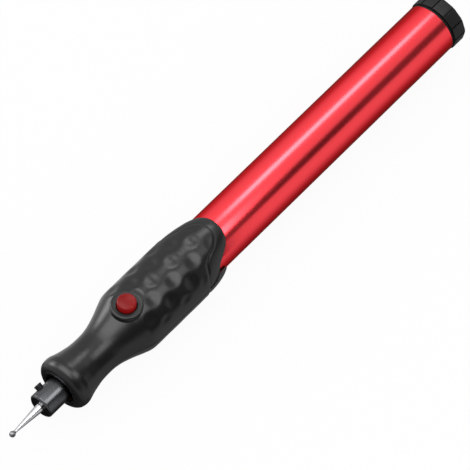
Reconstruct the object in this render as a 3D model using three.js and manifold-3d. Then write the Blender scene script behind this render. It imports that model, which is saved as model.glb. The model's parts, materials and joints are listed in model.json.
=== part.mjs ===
// Electric engraving pen, in millimetres. The pen lies along X with its bit towards -X and its
// end cap towards +X. The button faces +Z. The pieces are drawn about the pen's axis, from halfway
// along it, and the origin is the middle of the whole pen's box, which the button lifts a little.

import * as THREE from 'three';
import { mergeVertices } from 'three/addons/utils/BufferGeometryUtils.js';
import Module from 'manifold-3d';

const wasm = await Module();
wasm.setup();

// Clearances
const fitGap = 0.3;
const seatGap = 0.05;
const runGap = 0.1;
const tubeFitGap = 0.2;
const cutOverrun = 2;

// Lengths along the outside, from the bit's end to the cap's rear face
const bitExposedLength = 10.8;
const chuckExposedLength = 6.9;
const capExposedLength = 5.1;

// Barrel tube
const tubeWall = 0.7;
const tubeFrontLip = 0.2;
const tubeInsertion = 12;
const sleeveWall = 0.65;

// Cells, two of size AAA
const cellCount = 2;
const cellRadius = 5.25;
const cellLength = 44.5;
const cellNubRadius = 1.9;
const cellNubLength = 1;
const cellEdge = 0.35;
const cellGap = 0.1;

// End cap, its plug and its thread
const capStep = 0.27;
const capFlatDepth = 0.15;
const capGrooveCount = 12;
const capRestAngle = THREE.MathUtils.degToRad(9);
const capGrooveWidth = 0.5;
const capGrooveDepth = 0.42;
const capBevel = 0.5;
const capRearWall = 2;
const plugLength = 5.3;
const plugWall = 0.75;
const threadPitch = 1.25;
const threadHeight = 0.38;
const threadBaseWidth = 0.5;
const threadCrestWidth = 0.25;
const threadRoot = 0.15;
const plugGap = 0.55;
const sealWire = 0.4;

// Contacts at both ends of the cells
const capPlateThickness = 0.3;
const capPlateGap = 0.4;
const capSpringWire = 0.3;
const capSpringInset = 1.85;
const capSpringCurls = 5;
const frontPlateThickness = 0.3;
const frontPlateInset = 1.05;
const rivetRadius = 0.8;
const rivetHeadRadius = 1.3;
const rivetHeadLength = 0.4;
const carrierThickness = 1.6;
const clipWidth = 2.4;
const clipThickness = 0.3;
const clipLength = 2.6;
const clipLegHeight = 2.2;
const clipNotchSpare = 0.3;

// Motor
const motorRadius = 6;
const motorLength = 13.4;
const motorWall = 0.5;
const motorBossRadius = 1.8;
const motorBossLength = 1;
const bellLength = 1.1;
const bellBossRadius = 1.9;
const bellBossLength = 0.5;
const bellChamfer = 0.5;
const wiringSpace = 1.4;
const shaftRadius = 0.75;
const shaftFrontLength = 9.5;
const magnetThickness = 1;
const magnetOverhang = 0.75;
const magnetSpread = Math.PI * 0.68;
const airGap = 0.3;
const poleCount = 3;
const poleStemWidth = 1.2;
const poleShoe = 0.75;
const poleSpread = Math.PI * 0.52;
const coreFrontSpace = 3.37;
const coreRearSpace = 0.53;
const coreHubWall = 0.45;
const windingOverhang = 0.5;
const windingWidth = 3.1;
const commutatorRadius = 1.35;
const commutatorLength = 1.7;
const commutatorSlotWidth = 0.15;
const commutatorSlotDepth = 0.25;
const brushThickness = 0.3;
const brushWidth = 1.2;
const brushLength = 1.5;
const terminalThickness = 0.4;
const terminalWidth = 1.4;
const terminalLength = 0.8;
const terminalOffset = 4.3;

// Chuck, coupling and front bearing
const chuckRadius = 3.43;
const chuckEdge = 0.35;
const chuckHeadLength = 8.2;
const journalRadius = 2.45;
const tailRadius = 1;
const tailLength = 7.7;
const shankRadius = 1.175;
const couplingWall = 0.6;
const couplingTailGap = 1;
const shaftInCoupling = 6;
const bushLength = 5.5;
const bushRadius = 4.1;
const bushInset = 1.8;
const bushFlangeRadius = 4.7;
const bushFlangeLength = 0.8;
const bushFlangeInset = 2;

// Bit
const ballRadius = 0.8;
const bitNeckRadius = 0.4;
const shankInChuck = 13.2;
const shankEdge = 0.2;

// Set screw, which stands out of the chuck's side
const screwRadius = 1.05;
const screwProud = 1;
const screwFromChuckFront = 3.3;
const screwAngle = THREE.MathUtils.degToRad(63);
const screwSocketRadius = 0.52;
const screwSocketDepth = 1.1;
const screwEdge = 0.15;

// Grip
const gripSkin = 1.72;
const gripWall = 1.55;
const noseHoleRadius = 4.4;
const neckChannelGap = 0.6;
const rimRetreatTop = 6.8;
const rimRetreatBottom = 4.3;
const rimEdge = 0.2;
const rimDomeLength = 7;
const dimpleDepth = 0.38;
const dimpleRadius = 2.45;
const dimplePitch = 7.4;
const dimpleFront = 26.6;
const dimpleRows = 16;
const dimpleFade = 2.4;
const ribThickness = 0.6;
const tubeStopWidth = 0.6;
const pegRadius = 0.55;
const pegHeight = 1.2;
const pegGap = 0.12;
const pegFromNose = 14.4;
const pegOffset = 4.1;

// Button, its boss on the grip and the switch under it
const buttonFromNose = 24.7;
const buttonRadius = 2.45;
const buttonRise = 1.9;
const buttonDome = 0.2;
const buttonEdge = 0.45;
const buttonTravel = 0.8;
const buttonFlangeRadius = 3.2;
const buttonFlangeThickness = 0.5;
const buttonFlangeDepth = 1.98;
const buttonSocketDepth = 1.1;
const bossRadius = 4.17;
const bossDrop = 0.14;
const bossEdge = 0.5;
const bossBoreChamfer = 0.15;
const bossPocketGap = 0.3;
const switchSize = 5.2;
const switchHeight = 2.85;
const switchToFlange = 2;
const switchMotorGap = 2;
const plungerRadius = 0.9;
const plungerDepth = 1.75;
const buttonSpringWire = 0.15;
const buttonSpringRadius = 1.7;
const buttonSpringCurls = 2.2;
const switchTabWidth = 0.8;
const switchTabThickness = 0.3;
const switchTabHeight = 1.6;
const switchTabOffset = 1.2;

// Leads
const leadRadius = 0.35;
const leadMotorGap = 0.31;
const leadAngle = THREE.MathUtils.degToRad(35);

// Shares of a length and of a radius
// The grip's outline as shares of gripLength from the nose and of gripRadius
const gripOutlineShares = [
  [0, 0.565], [0.004, 0.65], [0.012, 0.73], [0.027, 0.79], [0.046, 0.808], [0.06, 0.801],
  [0.081, 0.763], [0.108, 0.715], [0.137, 0.678], [0.163, 0.65], [0.19, 0.636], [0.219, 0.632],
  [0.245, 0.637], [0.273, 0.659], [0.301, 0.697], [0.327, 0.745], [0.356, 0.806], [0.383, 0.872],
  [0.411, 0.938], [0.43, 0.976], [0.45, 0.994], [0.48, 1], [0.72, 1], [0.8, 0.996], [1, 0.99],
];
// How far the rim steps back, as shares of its retreat, by shares of a quarter turn from the top
const rimShares = [
  [0, 0], [0.17, 0.03], [0.33, 0.11], [0.49, 0.28], [0.58, 0.48], [0.67, 0.69], [0.76, 0.87],
  [0.89, 0.97], [1, 1],
];
const rimRowShares = [0.15, 0.07, 0.02, 0];
const domePowerShare = 0.75;
const rearRowsStartShare = 0.48;
const dimpleRearShares = [0.79, 0.94];
const dimpleSideShares = [0.62, 0.82];
const softEdgeShare = 0.3;
const buttonShoulderShares = [0.5, 0.67];
const couplingBoreShare = 0.52;
const leadSwitchSideShare = 0.66;
const leadRiseShare = 0.93;

// Counts
const tubeSides = 48;
const turnedSides = 24;
const smallSides = 12;
const sealSides = 6;
const socketSides = 6;
const gripColumns = 48;
const gripRearRows = 24;
const domeSteps = 3;
const ballSteps = 6;
const threadStepsPerTurn = 16;
const springStepsPerCurl = 8;
const springSides = 5;
const leadSides = 8;
const leadSteps = 18;
const capColumnsPerFacet = 4;

// Sizes that follow from what the parts hold
const tubeRadius = cellRadius + fitGap + sleeveWall + fitGap + tubeWall;
const tubeInnerRadius = tubeRadius - tubeWall;
const capRadius = tubeRadius + capStep;
const capFlatRadius = capRadius - capFlatDepth;
const plugRadius = tubeInnerRadius - plugGap;
const capPlateRadius = plugRadius - plugWall - capPlateGap;
const capSpringRadius = cellRadius - capSpringInset;
const frontPlateRadius = cellRadius - frontPlateInset;
const gripBoreRadius = tubeRadius + tubeFitGap;
const gripRadius = gripBoreRadius + gripSkin;
const bossTop = gripRadius - bossDrop;
const buttonTop = bossTop + buttonRise;
const axisZ = (gripRadius - buttonTop) / 2;
const buttonFlangeBase = bossTop - buttonFlangeDepth;
const buttonFlangeTop = buttonFlangeBase + buttonFlangeThickness;
const switchTop = buttonFlangeBase - switchToFlange;
const switchBase = switchTop - switchHeight;
const plungerBase = switchTop - plungerDepth;
const bossSkirtBase = switchTop + fitGap;
const leadRun = motorRadius + leadRadius + leadMotorGap;
const cellsLength = cellCount * cellLength + (cellCount - 1) * cellGap;
const contactStackLength = frontPlateThickness + carrierThickness + seatGap * 2;
const tubeLength = plugLength + fitGap + cellsLength + contactStackLength + tubeFrontLip;
const tubeExposedLength = tubeLength - tubeInsertion;
const motorStackLength = motorLength + bellLength + bellBossLength + wiringSpace;
const gripLength =
  buttonFromNose + switchSize / 2 + switchMotorGap + motorStackLength + tubeInsertion;

// Places along the axis
const overallLength =
  bitExposedLength + chuckExposedLength + gripLength + tubeExposedLength + capExposedLength;
const tipX = -overallLength / 2;
const chuckFrontX = tipX + bitExposedLength;
const noseX = chuckFrontX + chuckExposedLength;
const gripRearX = noseX + gripLength;
const tubeRearX = gripRearX + tubeExposedLength;
const rearX = tubeRearX + capExposedLength;
const plugFrontX = tubeRearX - plugLength;
const cellsRearX = plugFrontX - fitGap;
const cellsFrontX = cellsRearX - cellsLength;
const frontPlateRearX = cellsFrontX - seatGap;
const frontPlateFrontX = frontPlateRearX - frontPlateThickness;
const carrierRearX = frontPlateFrontX - seatGap;
const carrierFrontX = carrierRearX - carrierThickness;
const rivetFrontX = carrierFrontX - seatGap - rivetHeadLength;
const tubeFrontX = carrierFrontX - tubeFrontLip;
const bellBossRearX = tubeFrontX - wiringSpace;
const bellRearX = bellBossRearX - bellBossLength;
const motorRearX = bellRearX - bellLength;
const motorFrontX = motorRearX - motorLength;
const buttonX = noseX + buttonFromNose;
const journalFrontX = chuckFrontX + chuckHeadLength;
const bushFrontX = noseX + bushInset;
const bushFlangeX = bushFrontX + bushFlangeInset;
const bushRearX = bushFrontX + bushLength;
const tailFrontX = bushRearX + runGap;
const tailRearX = tailFrontX + tailLength;
const couplingFrontX = tailFrontX + couplingTailGap;
const shaftFrontX = motorFrontX - shaftFrontLength;
const couplingRearX = shaftFrontX + shaftInCoupling;
const couplingRadius = tailRadius + runGap + couplingWall;

// A colour, a roughness and how metallic each stuff is
const stuff = (color, roughness, metalness) => ({ color, roughness, metalness });
const blackGrip = stuff(0x333333, 0.42, 0);
const redTube = stuff(0xe8434e, 0.3, 0.85);
const blackCap = stuff(0x2b2e2c, 0.5, 0);
const redButton = stuff(0xa82020, 0.45, 0);
const darkSteel = stuff(0x4a4b4c, 0.35, 0.9);
const blackSteel = stuff(0x151515, 0.5, 0.6);
const brightSteel = stuff(0xc9c8c8, 0.18, 1);
const bronze = stuff(0x9a7b4f, 0.5, 0.8);
const brass = stuff(0xc9a552, 0.35, 0.9);
const copper = stuff(0xb06a3c, 0.4, 0.9);
const ferrite = stuff(0x3a3a3d, 0.8, 0);
const whitePlastic = stuff(0xe6e3dc, 0.5, 0);
const blackRubber = stuff(0x1c1c1c, 0.7, 0);
const cellJacket = stuff(0x3e5a46, 0.4, 0.2);
const redLead = stuff(0xb02a25, 0.5, 0);
const blackLead = stuff(0x222222, 0.5, 0);

// Turns any geometry into one closed mesh of shared points with its faces pointing out.
function closed(geometry) {
  const bare = geometry.clone();
  for (const name of Object.keys(bare.attributes)) {
    if (name !== 'position') bare.deleteAttribute(name);
  }
  const merged = mergeVertices(bare);
  const points = merged.attributes.position;
  const corners = [];
  const a = new THREE.Vector3();
  const b = new THREE.Vector3();
  const c = new THREE.Vector3();
  let volume = 0;
  for (let i = 0; i < merged.index.count; i += 3) {
    const [p, q, r] = [0, 1, 2].map((k) => merged.index.getX(i + k));
    if (p === q || q === r || r === p) continue;
    a.fromBufferAttribute(points, p);
    b.fromBufferAttribute(points, q);
    c.fromBufferAttribute(points, r);
    volume += a.dot(b.cross(c));
    corners.push(p, q, r);
  }
  if (volume < 0) corners.reverse();
  merged.setIndex(corners);
  return merged;
}

// A solid for cutting and joining.
function solid(geometry) {
  const shape = closed(geometry);
  return new wasm.Manifold(new wasm.Mesh({
    numProp: 3,
    vertProperties: Float32Array.from(shape.attributes.position.array),
    triVerts: Uint32Array.from(shape.index.array),
  }));
}

// The geometry of a solid that was cut or joined.
function shapeOf(body) {
  const mesh = body.getMesh();
  const geometry = new THREE.BufferGeometry();
  geometry.setAttribute('position', new THREE.BufferAttribute(mesh.vertProperties, mesh.numProp));
  geometry.setIndex(new THREE.BufferAttribute(mesh.triVerts, 1));
  return geometry;
}

// A piece turned about X from an outline of [x, radius] points.
function turned(outline, sides = turnedSides) {
  const points = outline.map(([x, radius]) => new THREE.Vector2(radius, x));
  return closed(new THREE.LatheGeometry(points, sides).rotateZ(-Math.PI / 2));
}

// A ring or sleeve turned about X from a closed outline.
function turnedRing(outline, sides = turnedSides) {
  return turned([...outline, outline[0]], sides);
}

// A piece turned about Z from an outline of [z, radius] points.
function turnedUp(outline, sides = turnedSides) {
  const points = outline.map(([z, radius]) => new THREE.Vector2(radius, z));
  return closed(new THREE.LatheGeometry(points, sides).rotateX(Math.PI / 2));
}

// A flat shape drawn in Y and Z and drawn out along X from one place to another.
function drawnAlongX(shape, fromX, toX, curveSegments = smallSides) {
  const geometry = new THREE.ExtrudeGeometry(shape, {
    depth: toX - fromX, bevelEnabled: false, curveSegments,
  });
  geometry.rotateY(Math.PI / 2);
  geometry.rotateX(Math.PI / 2);
  return closed(geometry.translate(fromX, 0, 0));
}

// A box between two corners.
function block(low, high) {
  const size = high.map((value, i) => value - low[i]);
  const middle = high.map((value, i) => (value + low[i]) / 2);
  return closed(new THREE.BoxGeometry(...size).translate(...middle));
}

// Rings of points joined one to the next, with both ends closed on their middles.
function ringed(rings) {
  const count = rings[0].length;
  const points = rings.flat();
  const middles = [rings[0], rings[rings.length - 1]].map((ring) =>
    ring.reduce((sum, p) => sum.add(p), new THREE.Vector3()).divideScalar(count));
  const corners = [];
  for (let i = 0; i + 1 < rings.length; i += 1) {
    for (let j = 0; j < count; j += 1) {
      const next = (j + 1) % count;
      const [a, b] = [i * count + j, i * count + next];
      corners.push(a, b, a + count, b, b + count, a + count);
    }
  }
  const first = points.length;
  const lastRing = (rings.length - 1) * count;
  for (let j = 0; j < count; j += 1) {
    const next = (j + 1) % count;
    corners.push(first, next, j);
    corners.push(first + 1, lastRing + j, lastRing + next);
  }
  const flat = [...points, ...middles].flatMap((p) => [p.x, p.y, p.z]);
  const geometry = new THREE.BufferGeometry();
  geometry.setAttribute('position', new THREE.Float32BufferAttribute(flat, 3));
  geometry.setIndex(corners);
  return closed(geometry);
}

// A named mesh with its stuff, with the pen's axis at its place below the origin.
function piece(name, geometry, material) {
  const placed = geometry.translate(0, 0, axisZ);
  const mesh = new THREE.Mesh(placed, new THREE.MeshStandardMaterial(material));
  mesh.name = name;
  return mesh;
}

// A group of meshes.
function assembly(...children) {
  const group = new THREE.Group();
  group.add(...children);
  return group;
}

// The value of a table of [place, value] rows, smooth between its rows.
function smooth(table, place) {
  const last = table.length - 1;
  if (place <= table[0][0]) return table[0][1];
  if (place >= table[last][0]) return table[last][1];
  const i = table.findIndex(([at]) => at > place) - 1;
  const slope = (k) => {
    const [low, high] = [Math.max(k - 1, 0), Math.min(k + 1, last)];
    const rise = (m) => (table[m + 1][1] - table[m][1]) / (table[m + 1][0] - table[m][0]);
    if (low === k || high === k) return 0;
    const [before, after] = [rise(k - 1), rise(k)];
    return before * after <= 0 ? 0 : (2 * before * after) / (before + after);
  };
  const [from, to] = [table[i], table[i + 1]];
  const span = to[0] - from[0];
  const t = (place - from[0]) / span;
  const t2 = t * t;
  const t3 = t2 * t;
  return (2 * t3 - 3 * t2 + 1) * from[1] + (t3 - 2 * t2 + t) * span * slope(i)
    + (3 * t2 - 2 * t3) * to[1] + (t3 - t2) * span * slope(i + 1);
}

// How far an angle lies from the top or bottom line towards the parting line, as a share.
function quarterShare(angle) {
  const folded = Math.abs(Math.atan2(Math.sin(angle), Math.cos(angle)));
  return Math.min(folded, Math.PI - folded) / (Math.PI / 2);
}

// Where the rim of a grip half lies at an angle from the button.
function rimX(retreat, angle) {
  return gripRearX - retreat * smooth(rimShares, quarterShare(angle));
}

// How deep the hammered pattern is at a place on the grip, as a share of dimpleDepth.
function dimpleShare(x, angle) {
  const rowAngle = (Math.PI * 2) / dimpleRows;
  const nearest = Math.round(angle / rowAngle);
  const arch = rimX(1, angle) - gripRearX;
  const [rearSide, rearTop] = dimpleRearShares.map((share) => noseX + gripLength * share);
  const rearLimit = rearTop + (rearTop - rearSide) * arch;
  const frontLimit = noseX + dimpleFront;
  const fade = (distance) => THREE.MathUtils.clamp(distance / dimpleFade, 0, 1);
  const [sideStart, sideEnd] = dimpleSideShares;
  const sideFade = THREE.MathUtils.smoothstep(quarterShare(angle), sideStart, sideEnd);
  let deepest = 0;
  for (let row = nearest - 1; row <= nearest + 1; row += 1) {
    const around = (angle - row * rowAngle) * gripRadius;
    const start = frontLimit + (row % 2 === 0 ? 0 : dimplePitch / 2);
    const along = x - start - Math.round((x - start) / dimplePitch) * dimplePitch;
    const distance = Math.hypot(around, along) / dimpleRadius;
    if (distance < 1) deepest = Math.max(deepest, Math.cos((distance * Math.PI) / 2) ** 2);
  }
  return deepest * fade(x - frontLimit + dimplePitch / 2) * fade(rearLimit - x) * (1 - sideFade);
}

// The grip's outer radius at a place, with the dome at its rear rim.
function gripOuterRadius(retreat, x, angle) {
  const base = gripRadius * smooth(gripOutlineShares, (x - noseX) / gripLength);
  const edge = gripBoreRadius + rimEdge;
  const toRim = THREE.MathUtils.clamp((rimX(retreat, angle) - x) / rimDomeLength, 0, 1);
  const domed = edge + (base - edge) * (1 - (1 - toRim) ** 2) ** domePowerShare;
  return domed - dimpleDepth * dimpleShare(x, angle);
}

// A point on a circle about X, its angle measured from +Z towards -Y.
function around(x, radius, angle) {
  return new THREE.Vector3(x, -radius * Math.sin(angle), radius * Math.cos(angle));
}

// The grip's outside as one solid, whose last rings turn in at the rim.
function gripBody(retreat) {
  const columns = Array.from({ length: gripColumns }, (_, j) => (j * Math.PI * 2) / gripColumns);
  const rings = [];
  for (const [share] of gripOutlineShares) {
    if (share >= rearRowsStartShare) break;
    const x = noseX + gripLength * share;
    rings.push(columns.map((angle) => around(x, gripOuterRadius(retreat, x, angle), angle)));
  }
  const startX = noseX + gripLength * rearRowsStartShare;
  const ringAt = (place) => columns.map((angle) => {
    const x = place(rimX(retreat, angle));
    return around(x, gripOuterRadius(retreat, x, angle), angle);
  });
  const lastRow = rimDomeLength * rimRowShares[0];
  for (let i = 0; i < gripRearRows; i += 1) {
    rings.push(ringAt((rim) => startX + (rim - lastRow - startX) * (i / gripRearRows)));
  }
  for (const share of rimRowShares) {
    rings.push(ringAt((rim) => rim - rimDomeLength * share));
  }
  rings.push(columns.map((angle) => around(rimX(retreat, angle), tubeInnerRadius, angle)));
  return solid(ringed(rings));
}

// The hollow in the grip: nose hole, bearing seat, neck channel, motor bay and tube bore.
function gripHollow() {
  const channelRadius = couplingRadius + neckChannelGap;
  const seatRearX = bushRearX + fitGap;
  const flangeSeatRadius = bushFlangeRadius + fitGap;
  const innerPoints = gripOutlineShares
    .map(([share, radius]) => [noseX + gripLength * share, gripRadius * radius - gripWall])
    .filter(([x, radius]) => x > tailRearX && radius < gripBoreRadius - seatGap);
  return solid(turned([
    [noseX - cutOverrun, 0],
    [noseX - cutOverrun, noseHoleRadius],
    [bushFlangeX - seatGap, noseHoleRadius],
    [bushFlangeX - seatGap, flangeSeatRadius],
    [bushFlangeX + bushFlangeLength + seatGap, flangeSeatRadius],
    [bushFlangeX + bushFlangeLength + seatGap, noseHoleRadius],
    [seatRearX, noseHoleRadius],
    [seatRearX, channelRadius],
    [innerPoints[0][0] - seatGap, channelRadius],
    ...innerPoints,
    [innerPoints[innerPoints.length - 1][0] + gripWall, gripBoreRadius],
    [gripRearX + cutOverrun, gripBoreRadius],
    [gripRearX + cutOverrun, 0],
  ], tubeSides));
}

// A rib round the inside of the motor bay.
function rib(frontX, thickness, innerRadius) {
  return solid(turnedRing([
    [frontX, innerRadius],
    [frontX, gripBoreRadius + rimEdge],
    [frontX + thickness, gripBoreRadius + rimEdge],
    [frontX + thickness, innerRadius],
  ], tubeSides));
}

// A peg on the parting face, or with a gap the socket for it.
function pegs(gap) {
  const x = noseX + pegFromNose;
  const bodies = [-1, 1].map((side) => {
    const peg = new THREE.CylinderGeometry(
      pegRadius + gap, pegRadius + gap, 2 * (pegHeight + gap), smallSides);
    return solid(peg.rotateX(Math.PI / 2).translate(x, side * pegOffset, 0));
  });
  return bodies[0].add(bodies[1]);
}

// The two halves of the grip, parted at the plane through the axis.
function gripHalves() {
  const far = overallLength;
  const above = solid(block([-far, -far, 0], [far, far, far]));
  const below = solid(block([-far, -far, -far], [far, far, 0]));
  const stopRearX = tubeFrontX - fitGap;
  const stop = rib(stopRearX - tubeStopWidth, tubeStopWidth, tubeInnerRadius + runGap);
  const hollowShell = (retreat) => gripBody(retreat).subtract(gripHollow()).add(stop);
  const motorSeat = motorRadius + fitGap;
  const ribs = [
    rib(motorFrontX - fitGap - ribThickness, ribThickness, motorBossRadius + fitGap),
    rib(motorFrontX + motorWall + ribThickness, ribThickness, motorSeat),
    rib(motorRearX - motorWall - ribThickness * 2, ribThickness, motorSeat),
  ];
  const bottom = ribs
    .reduce((shell, each) => shell.add(each), hollowShell(rimRetreatBottom))
    .subtract(above)
    .subtract(pegs(pegGap));
  const bossBase = turnedUp([
    [bossSkirtBase, 0], [bossSkirtBase, bossRadius], [bossTop - bossEdge, bossRadius],
    [bossTop - bossEdge * softEdgeShare, bossRadius - bossEdge * softEdgeShare],
    [bossTop, bossRadius - bossEdge],
    [bossTop, 0],
  ]).translate(buttonX, 0, 0);
  const pocketRadius = buttonFlangeRadius + bossPocketGap;
  const boreRadius = buttonRadius + runGap;
  const bossCut = turnedUp([
    [switchBase, 0], [switchBase, pocketRadius],
    [buttonFlangeTop + seatGap, pocketRadius], [buttonFlangeTop + seatGap, boreRadius],
    [bossTop - bossBoreChamfer, boreRadius],
    [bossTop + bossBoreChamfer, boreRadius + bossBoreChamfer * 2],
    [bossTop + cutOverrun, boreRadius + bossBoreChamfer * 2], [bossTop + cutOverrun, 0],
  ]).translate(buttonX, 0, 0);
  const halfPegs = pegs(0).subtract(solid(block([-far, -far, pegHeight / 2], [far, far, far])));
  const top = hollowShell(rimRetreatTop)
    .subtract(below)
    .add(solid(bossBase))
    .subtract(solid(bossCut))
    .add(halfPegs);
  return [shapeOf(top), shapeOf(bottom)];
}

// A screw ridge wound right-handed about X, running out at both ends.
function ridge(startX, length, rootRadius, crestRadius) {
  const turns = (length - threadBaseWidth) / threadPitch;
  const steps = Math.ceil(turns * threadStepsPerTurn);
  const sections = [];
  for (let i = 0; i <= steps; i += 1) {
    const angle = (i * Math.PI * 2) / threadStepsPerTurn;
    const x = startX + threadBaseWidth / 2 + (threadPitch * i) / threadStepsPerTurn;
    const corner = (dx, radius) =>
      new THREE.Vector3(x + dx, radius * Math.cos(angle), radius * Math.sin(angle));
    sections.push([
      corner(-threadBaseWidth / 2, rootRadius),
      corner(-threadCrestWidth / 2, crestRadius),
      corner(threadCrestWidth / 2, crestRadius),
      corner(threadBaseWidth / 2, rootRadius),
    ]);
  }
  return solid(ringed(sections));
}

function barrelTube() {
  const pipe = solid(turnedRing([
    [tubeFrontX, tubeInnerRadius], [tubeFrontX, tubeRadius],
    [tubeRearX, tubeRadius], [tubeRearX, tubeInnerRadius],
  ], tubeSides));
  const threadX = plugFrontX + fitGap;
  const thread = ridge(
    threadX, tubeRearX - seatGap - threadX,
    tubeInnerRadius + threadRoot, tubeInnerRadius - threadHeight);
  return shapeOf(pipe.add(thread));
}

// The cap's outside: flats with a groove at each of their corners, and a bevelled rear edge.
function capHead(frontX) {
  const count = capGrooveCount * capColumnsPerFacet;
  const facet = (Math.PI * 2) / capGrooveCount;
  const ringAt = (x, inset) => Array.from({ length: count }, (_, j) => {
    const angle = (j * Math.PI * 2) / count;
    const fromMiddle = angle - Math.round(angle / facet) * facet;
    const radius = Math.min(capFlatRadius / Math.cos(fromMiddle), capRadius);
    return around(x, radius - inset, angle);
  });
  let body = solid(ringed([
    ringAt(frontX, capBevel / 2), ringAt(frontX + capBevel / 2, 0),
    ringAt(rearX - capBevel, 0),
    ringAt(rearX - capBevel * softEdgeShare, capBevel * softEdgeShare),
    ringAt(rearX, capBevel),
  ]));
  for (let i = 0; i < capGrooveCount; i += 1) {
    const notch = new THREE.BoxGeometry(
      capExposedLength + cutOverrun, capGrooveWidth, capGrooveDepth * 2);
    notch.translate((frontX + rearX) / 2, 0, capRadius);
    notch.rotateX((i + 0.5) * facet);
    body = body.subtract(solid(notch));
  }
  return body;
}

// The cap, turned to where it rests when it is screwed home.
function endCap() {
  const headFrontX = tubeRearX + sealWire * 2 + seatGap;
  const floorX = rearX - capRearWall;
  const bore = plugRadius - plugWall;
  const plug = solid(turned([
    [plugFrontX, 0], [plugFrontX, plugRadius], [floorX, plugRadius], [floorX, 0],
  ], tubeSides));
  const hollow = solid(turned([
    [plugFrontX - cutOverrun, 0], [plugFrontX - cutOverrun, bore], [floorX, bore], [floorX, 0],
  ], turnedSides));
  const turnedRise = (threadPitch * capRestAngle) / (Math.PI * 2);
  const threadX = plugFrontX + fitGap + threadPitch / 2 + turnedRise;
  const thread = ridge(
    threadX, tubeRearX - seatGap - threadX, plugRadius - threadRoot, plugRadius + threadHeight);
  const body = capHead(headFrontX).add(plug).add(thread).subtract(hollow);
  return shapeOf(body).rotateX(capRestAngle);
}

function capSeal() {
  const middle = plugRadius + fitGap + sealWire;
  const outline = [];
  for (let i = 0; i < sealSides; i += 1) {
    const angle = ((i + 0.5) * Math.PI * 2) / sealSides;
    outline.push([
      tubeRearX + sealWire + seatGap / 2 + sealWire * Math.cos(angle),
      middle + sealWire * Math.sin(angle),
    ]);
  }
  return turnedRing(outline, tubeSides);
}

// A coil spring as one unbroken wire along an axis, from one end to the other.
function coil(name, radius, wire, curls, from, to, place) {
  const steps = Math.ceil(curls * springStepsPerCurl);
  const rise = (to - from - wire * 2) / steps;
  const middles = [];
  const rings = [];
  for (let i = 0; i <= steps; i += 1) {
    const angle = (i * Math.PI * 2) / springStepsPerCurl;
    const along = from + wire + rise * i;
    middles.push(place(along, radius, angle));
    rings.push(Array.from({ length: springSides }, (_, j) => {
      const turn = (j * Math.PI * 2) / springSides;
      return place(along + wire * Math.sin(turn), radius + wire * Math.cos(turn), angle);
    }));
  }
  let least = Infinity;
  middles.forEach((a, i) => middles.slice(i + springStepsPerCurl / 2).forEach((b) => {
    least = Math.min(least, a.distanceTo(b) - wire * 2);
  }));
  console.log(`${name}: least gap to itself ${least.toFixed(3)} mm`);
  return ringed(rings);
}

function cell(frontX) {
  const bodyX = frontX + cellNubLength;
  const backX = frontX + cellLength;
  return turned([
    [frontX, 0], [frontX, cellNubRadius], [bodyX, cellNubRadius],
    [bodyX, cellRadius - cellEdge], [bodyX + cellEdge, cellRadius],
    [backX - cellEdge, cellRadius], [backX, cellRadius - cellEdge], [backX, 0],
  ]);
}

function contactCarrier() {
  const radius = tubeInnerRadius - fitGap;
  const disc = solid(turnedRing([
    [carrierFrontX, rivetRadius + runGap], [carrierFrontX, radius],
    [carrierRearX, radius], [carrierRearX, rivetRadius + runGap],
  ]));
  const notchHalf = clipWidth / 2 + clipNotchSpare;
  const notchTop = clipOuterZ() + clipThickness + clipNotchSpare;
  return shapeOf(disc.subtract(solid(block(
    [carrierFrontX - cutOverrun, -notchHalf, -tubeRadius],
    [carrierRearX + cutOverrun, notchHalf, notchTop]))));
}

// The height of the clip's outer face, which follows the inside of the tube.
function clipOuterZ() {
  return -Math.sqrt((tubeInnerRadius - runGap) ** 2 - (clipWidth / 2) ** 2);
}

function groundClip() {
  const rearX = carrierRearX;
  const frontX = rearX - clipLength;
  const z = clipOuterZ();
  const strip = solid(block(
    [frontX, -clipWidth / 2, z], [rearX, clipWidth / 2, z + clipThickness]));
  const leg = solid(block(
    [frontX, -clipWidth / 2, z],
    [frontX + clipThickness, clipWidth / 2, z + clipLegHeight]));
  return shapeOf(strip.add(leg));
}

function frontContactPlate() {
  return turned([
    [frontPlateRearX, 0], [frontPlateRearX, frontPlateRadius],
    [frontPlateFrontX, frontPlateRadius], [frontPlateFrontX, rivetRadius],
    [carrierFrontX - seatGap, rivetRadius], [carrierFrontX - seatGap, rivetHeadRadius],
    [rivetFrontX, rivetHeadRadius], [rivetFrontX, 0],
  ]);
}

function motorCan() {
  const bore = shaftRadius + runGap;
  const bossX = motorFrontX - motorBossLength;
  const inner = motorRadius - motorWall;
  return turnedRing([
    [bossX, bore], [bossX, motorBossRadius], [motorFrontX, motorBossRadius],
    [motorFrontX, motorRadius], [motorRearX, motorRadius], [motorRearX, inner],
    [motorFrontX + motorWall, inner], [motorFrontX + motorWall, bore],
  ]);
}

function motorEndBell() {
  const bore = shaftRadius + runGap;
  const frontX = motorRearX + seatGap;
  const floorX = bellBossRearX - bellBossLength / 2;
  return turned([
    [bellBossRearX, 0], [bellBossRearX, bellBossRadius], [bellRearX, bellBossRadius],
    [bellRearX, motorRadius - bellChamfer], [bellRearX - bellChamfer, motorRadius],
    [frontX, motorRadius], [frontX, bore], [floorX, bore], [floorX, 0],
  ]);
}

const magnetOuterRadius = motorRadius - motorWall - fitGap;
const magnetInnerRadius = magnetOuterRadius - magnetThickness;
const poleRadius = magnetInnerRadius - airGap;
const commutatorRearX = motorRearX - fitGap;
const commutatorFrontX = commutatorRearX - commutatorLength;
const coreRearX = commutatorFrontX - coreRearSpace;
const coreFrontX = motorFrontX + motorWall + coreFrontSpace;

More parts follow.
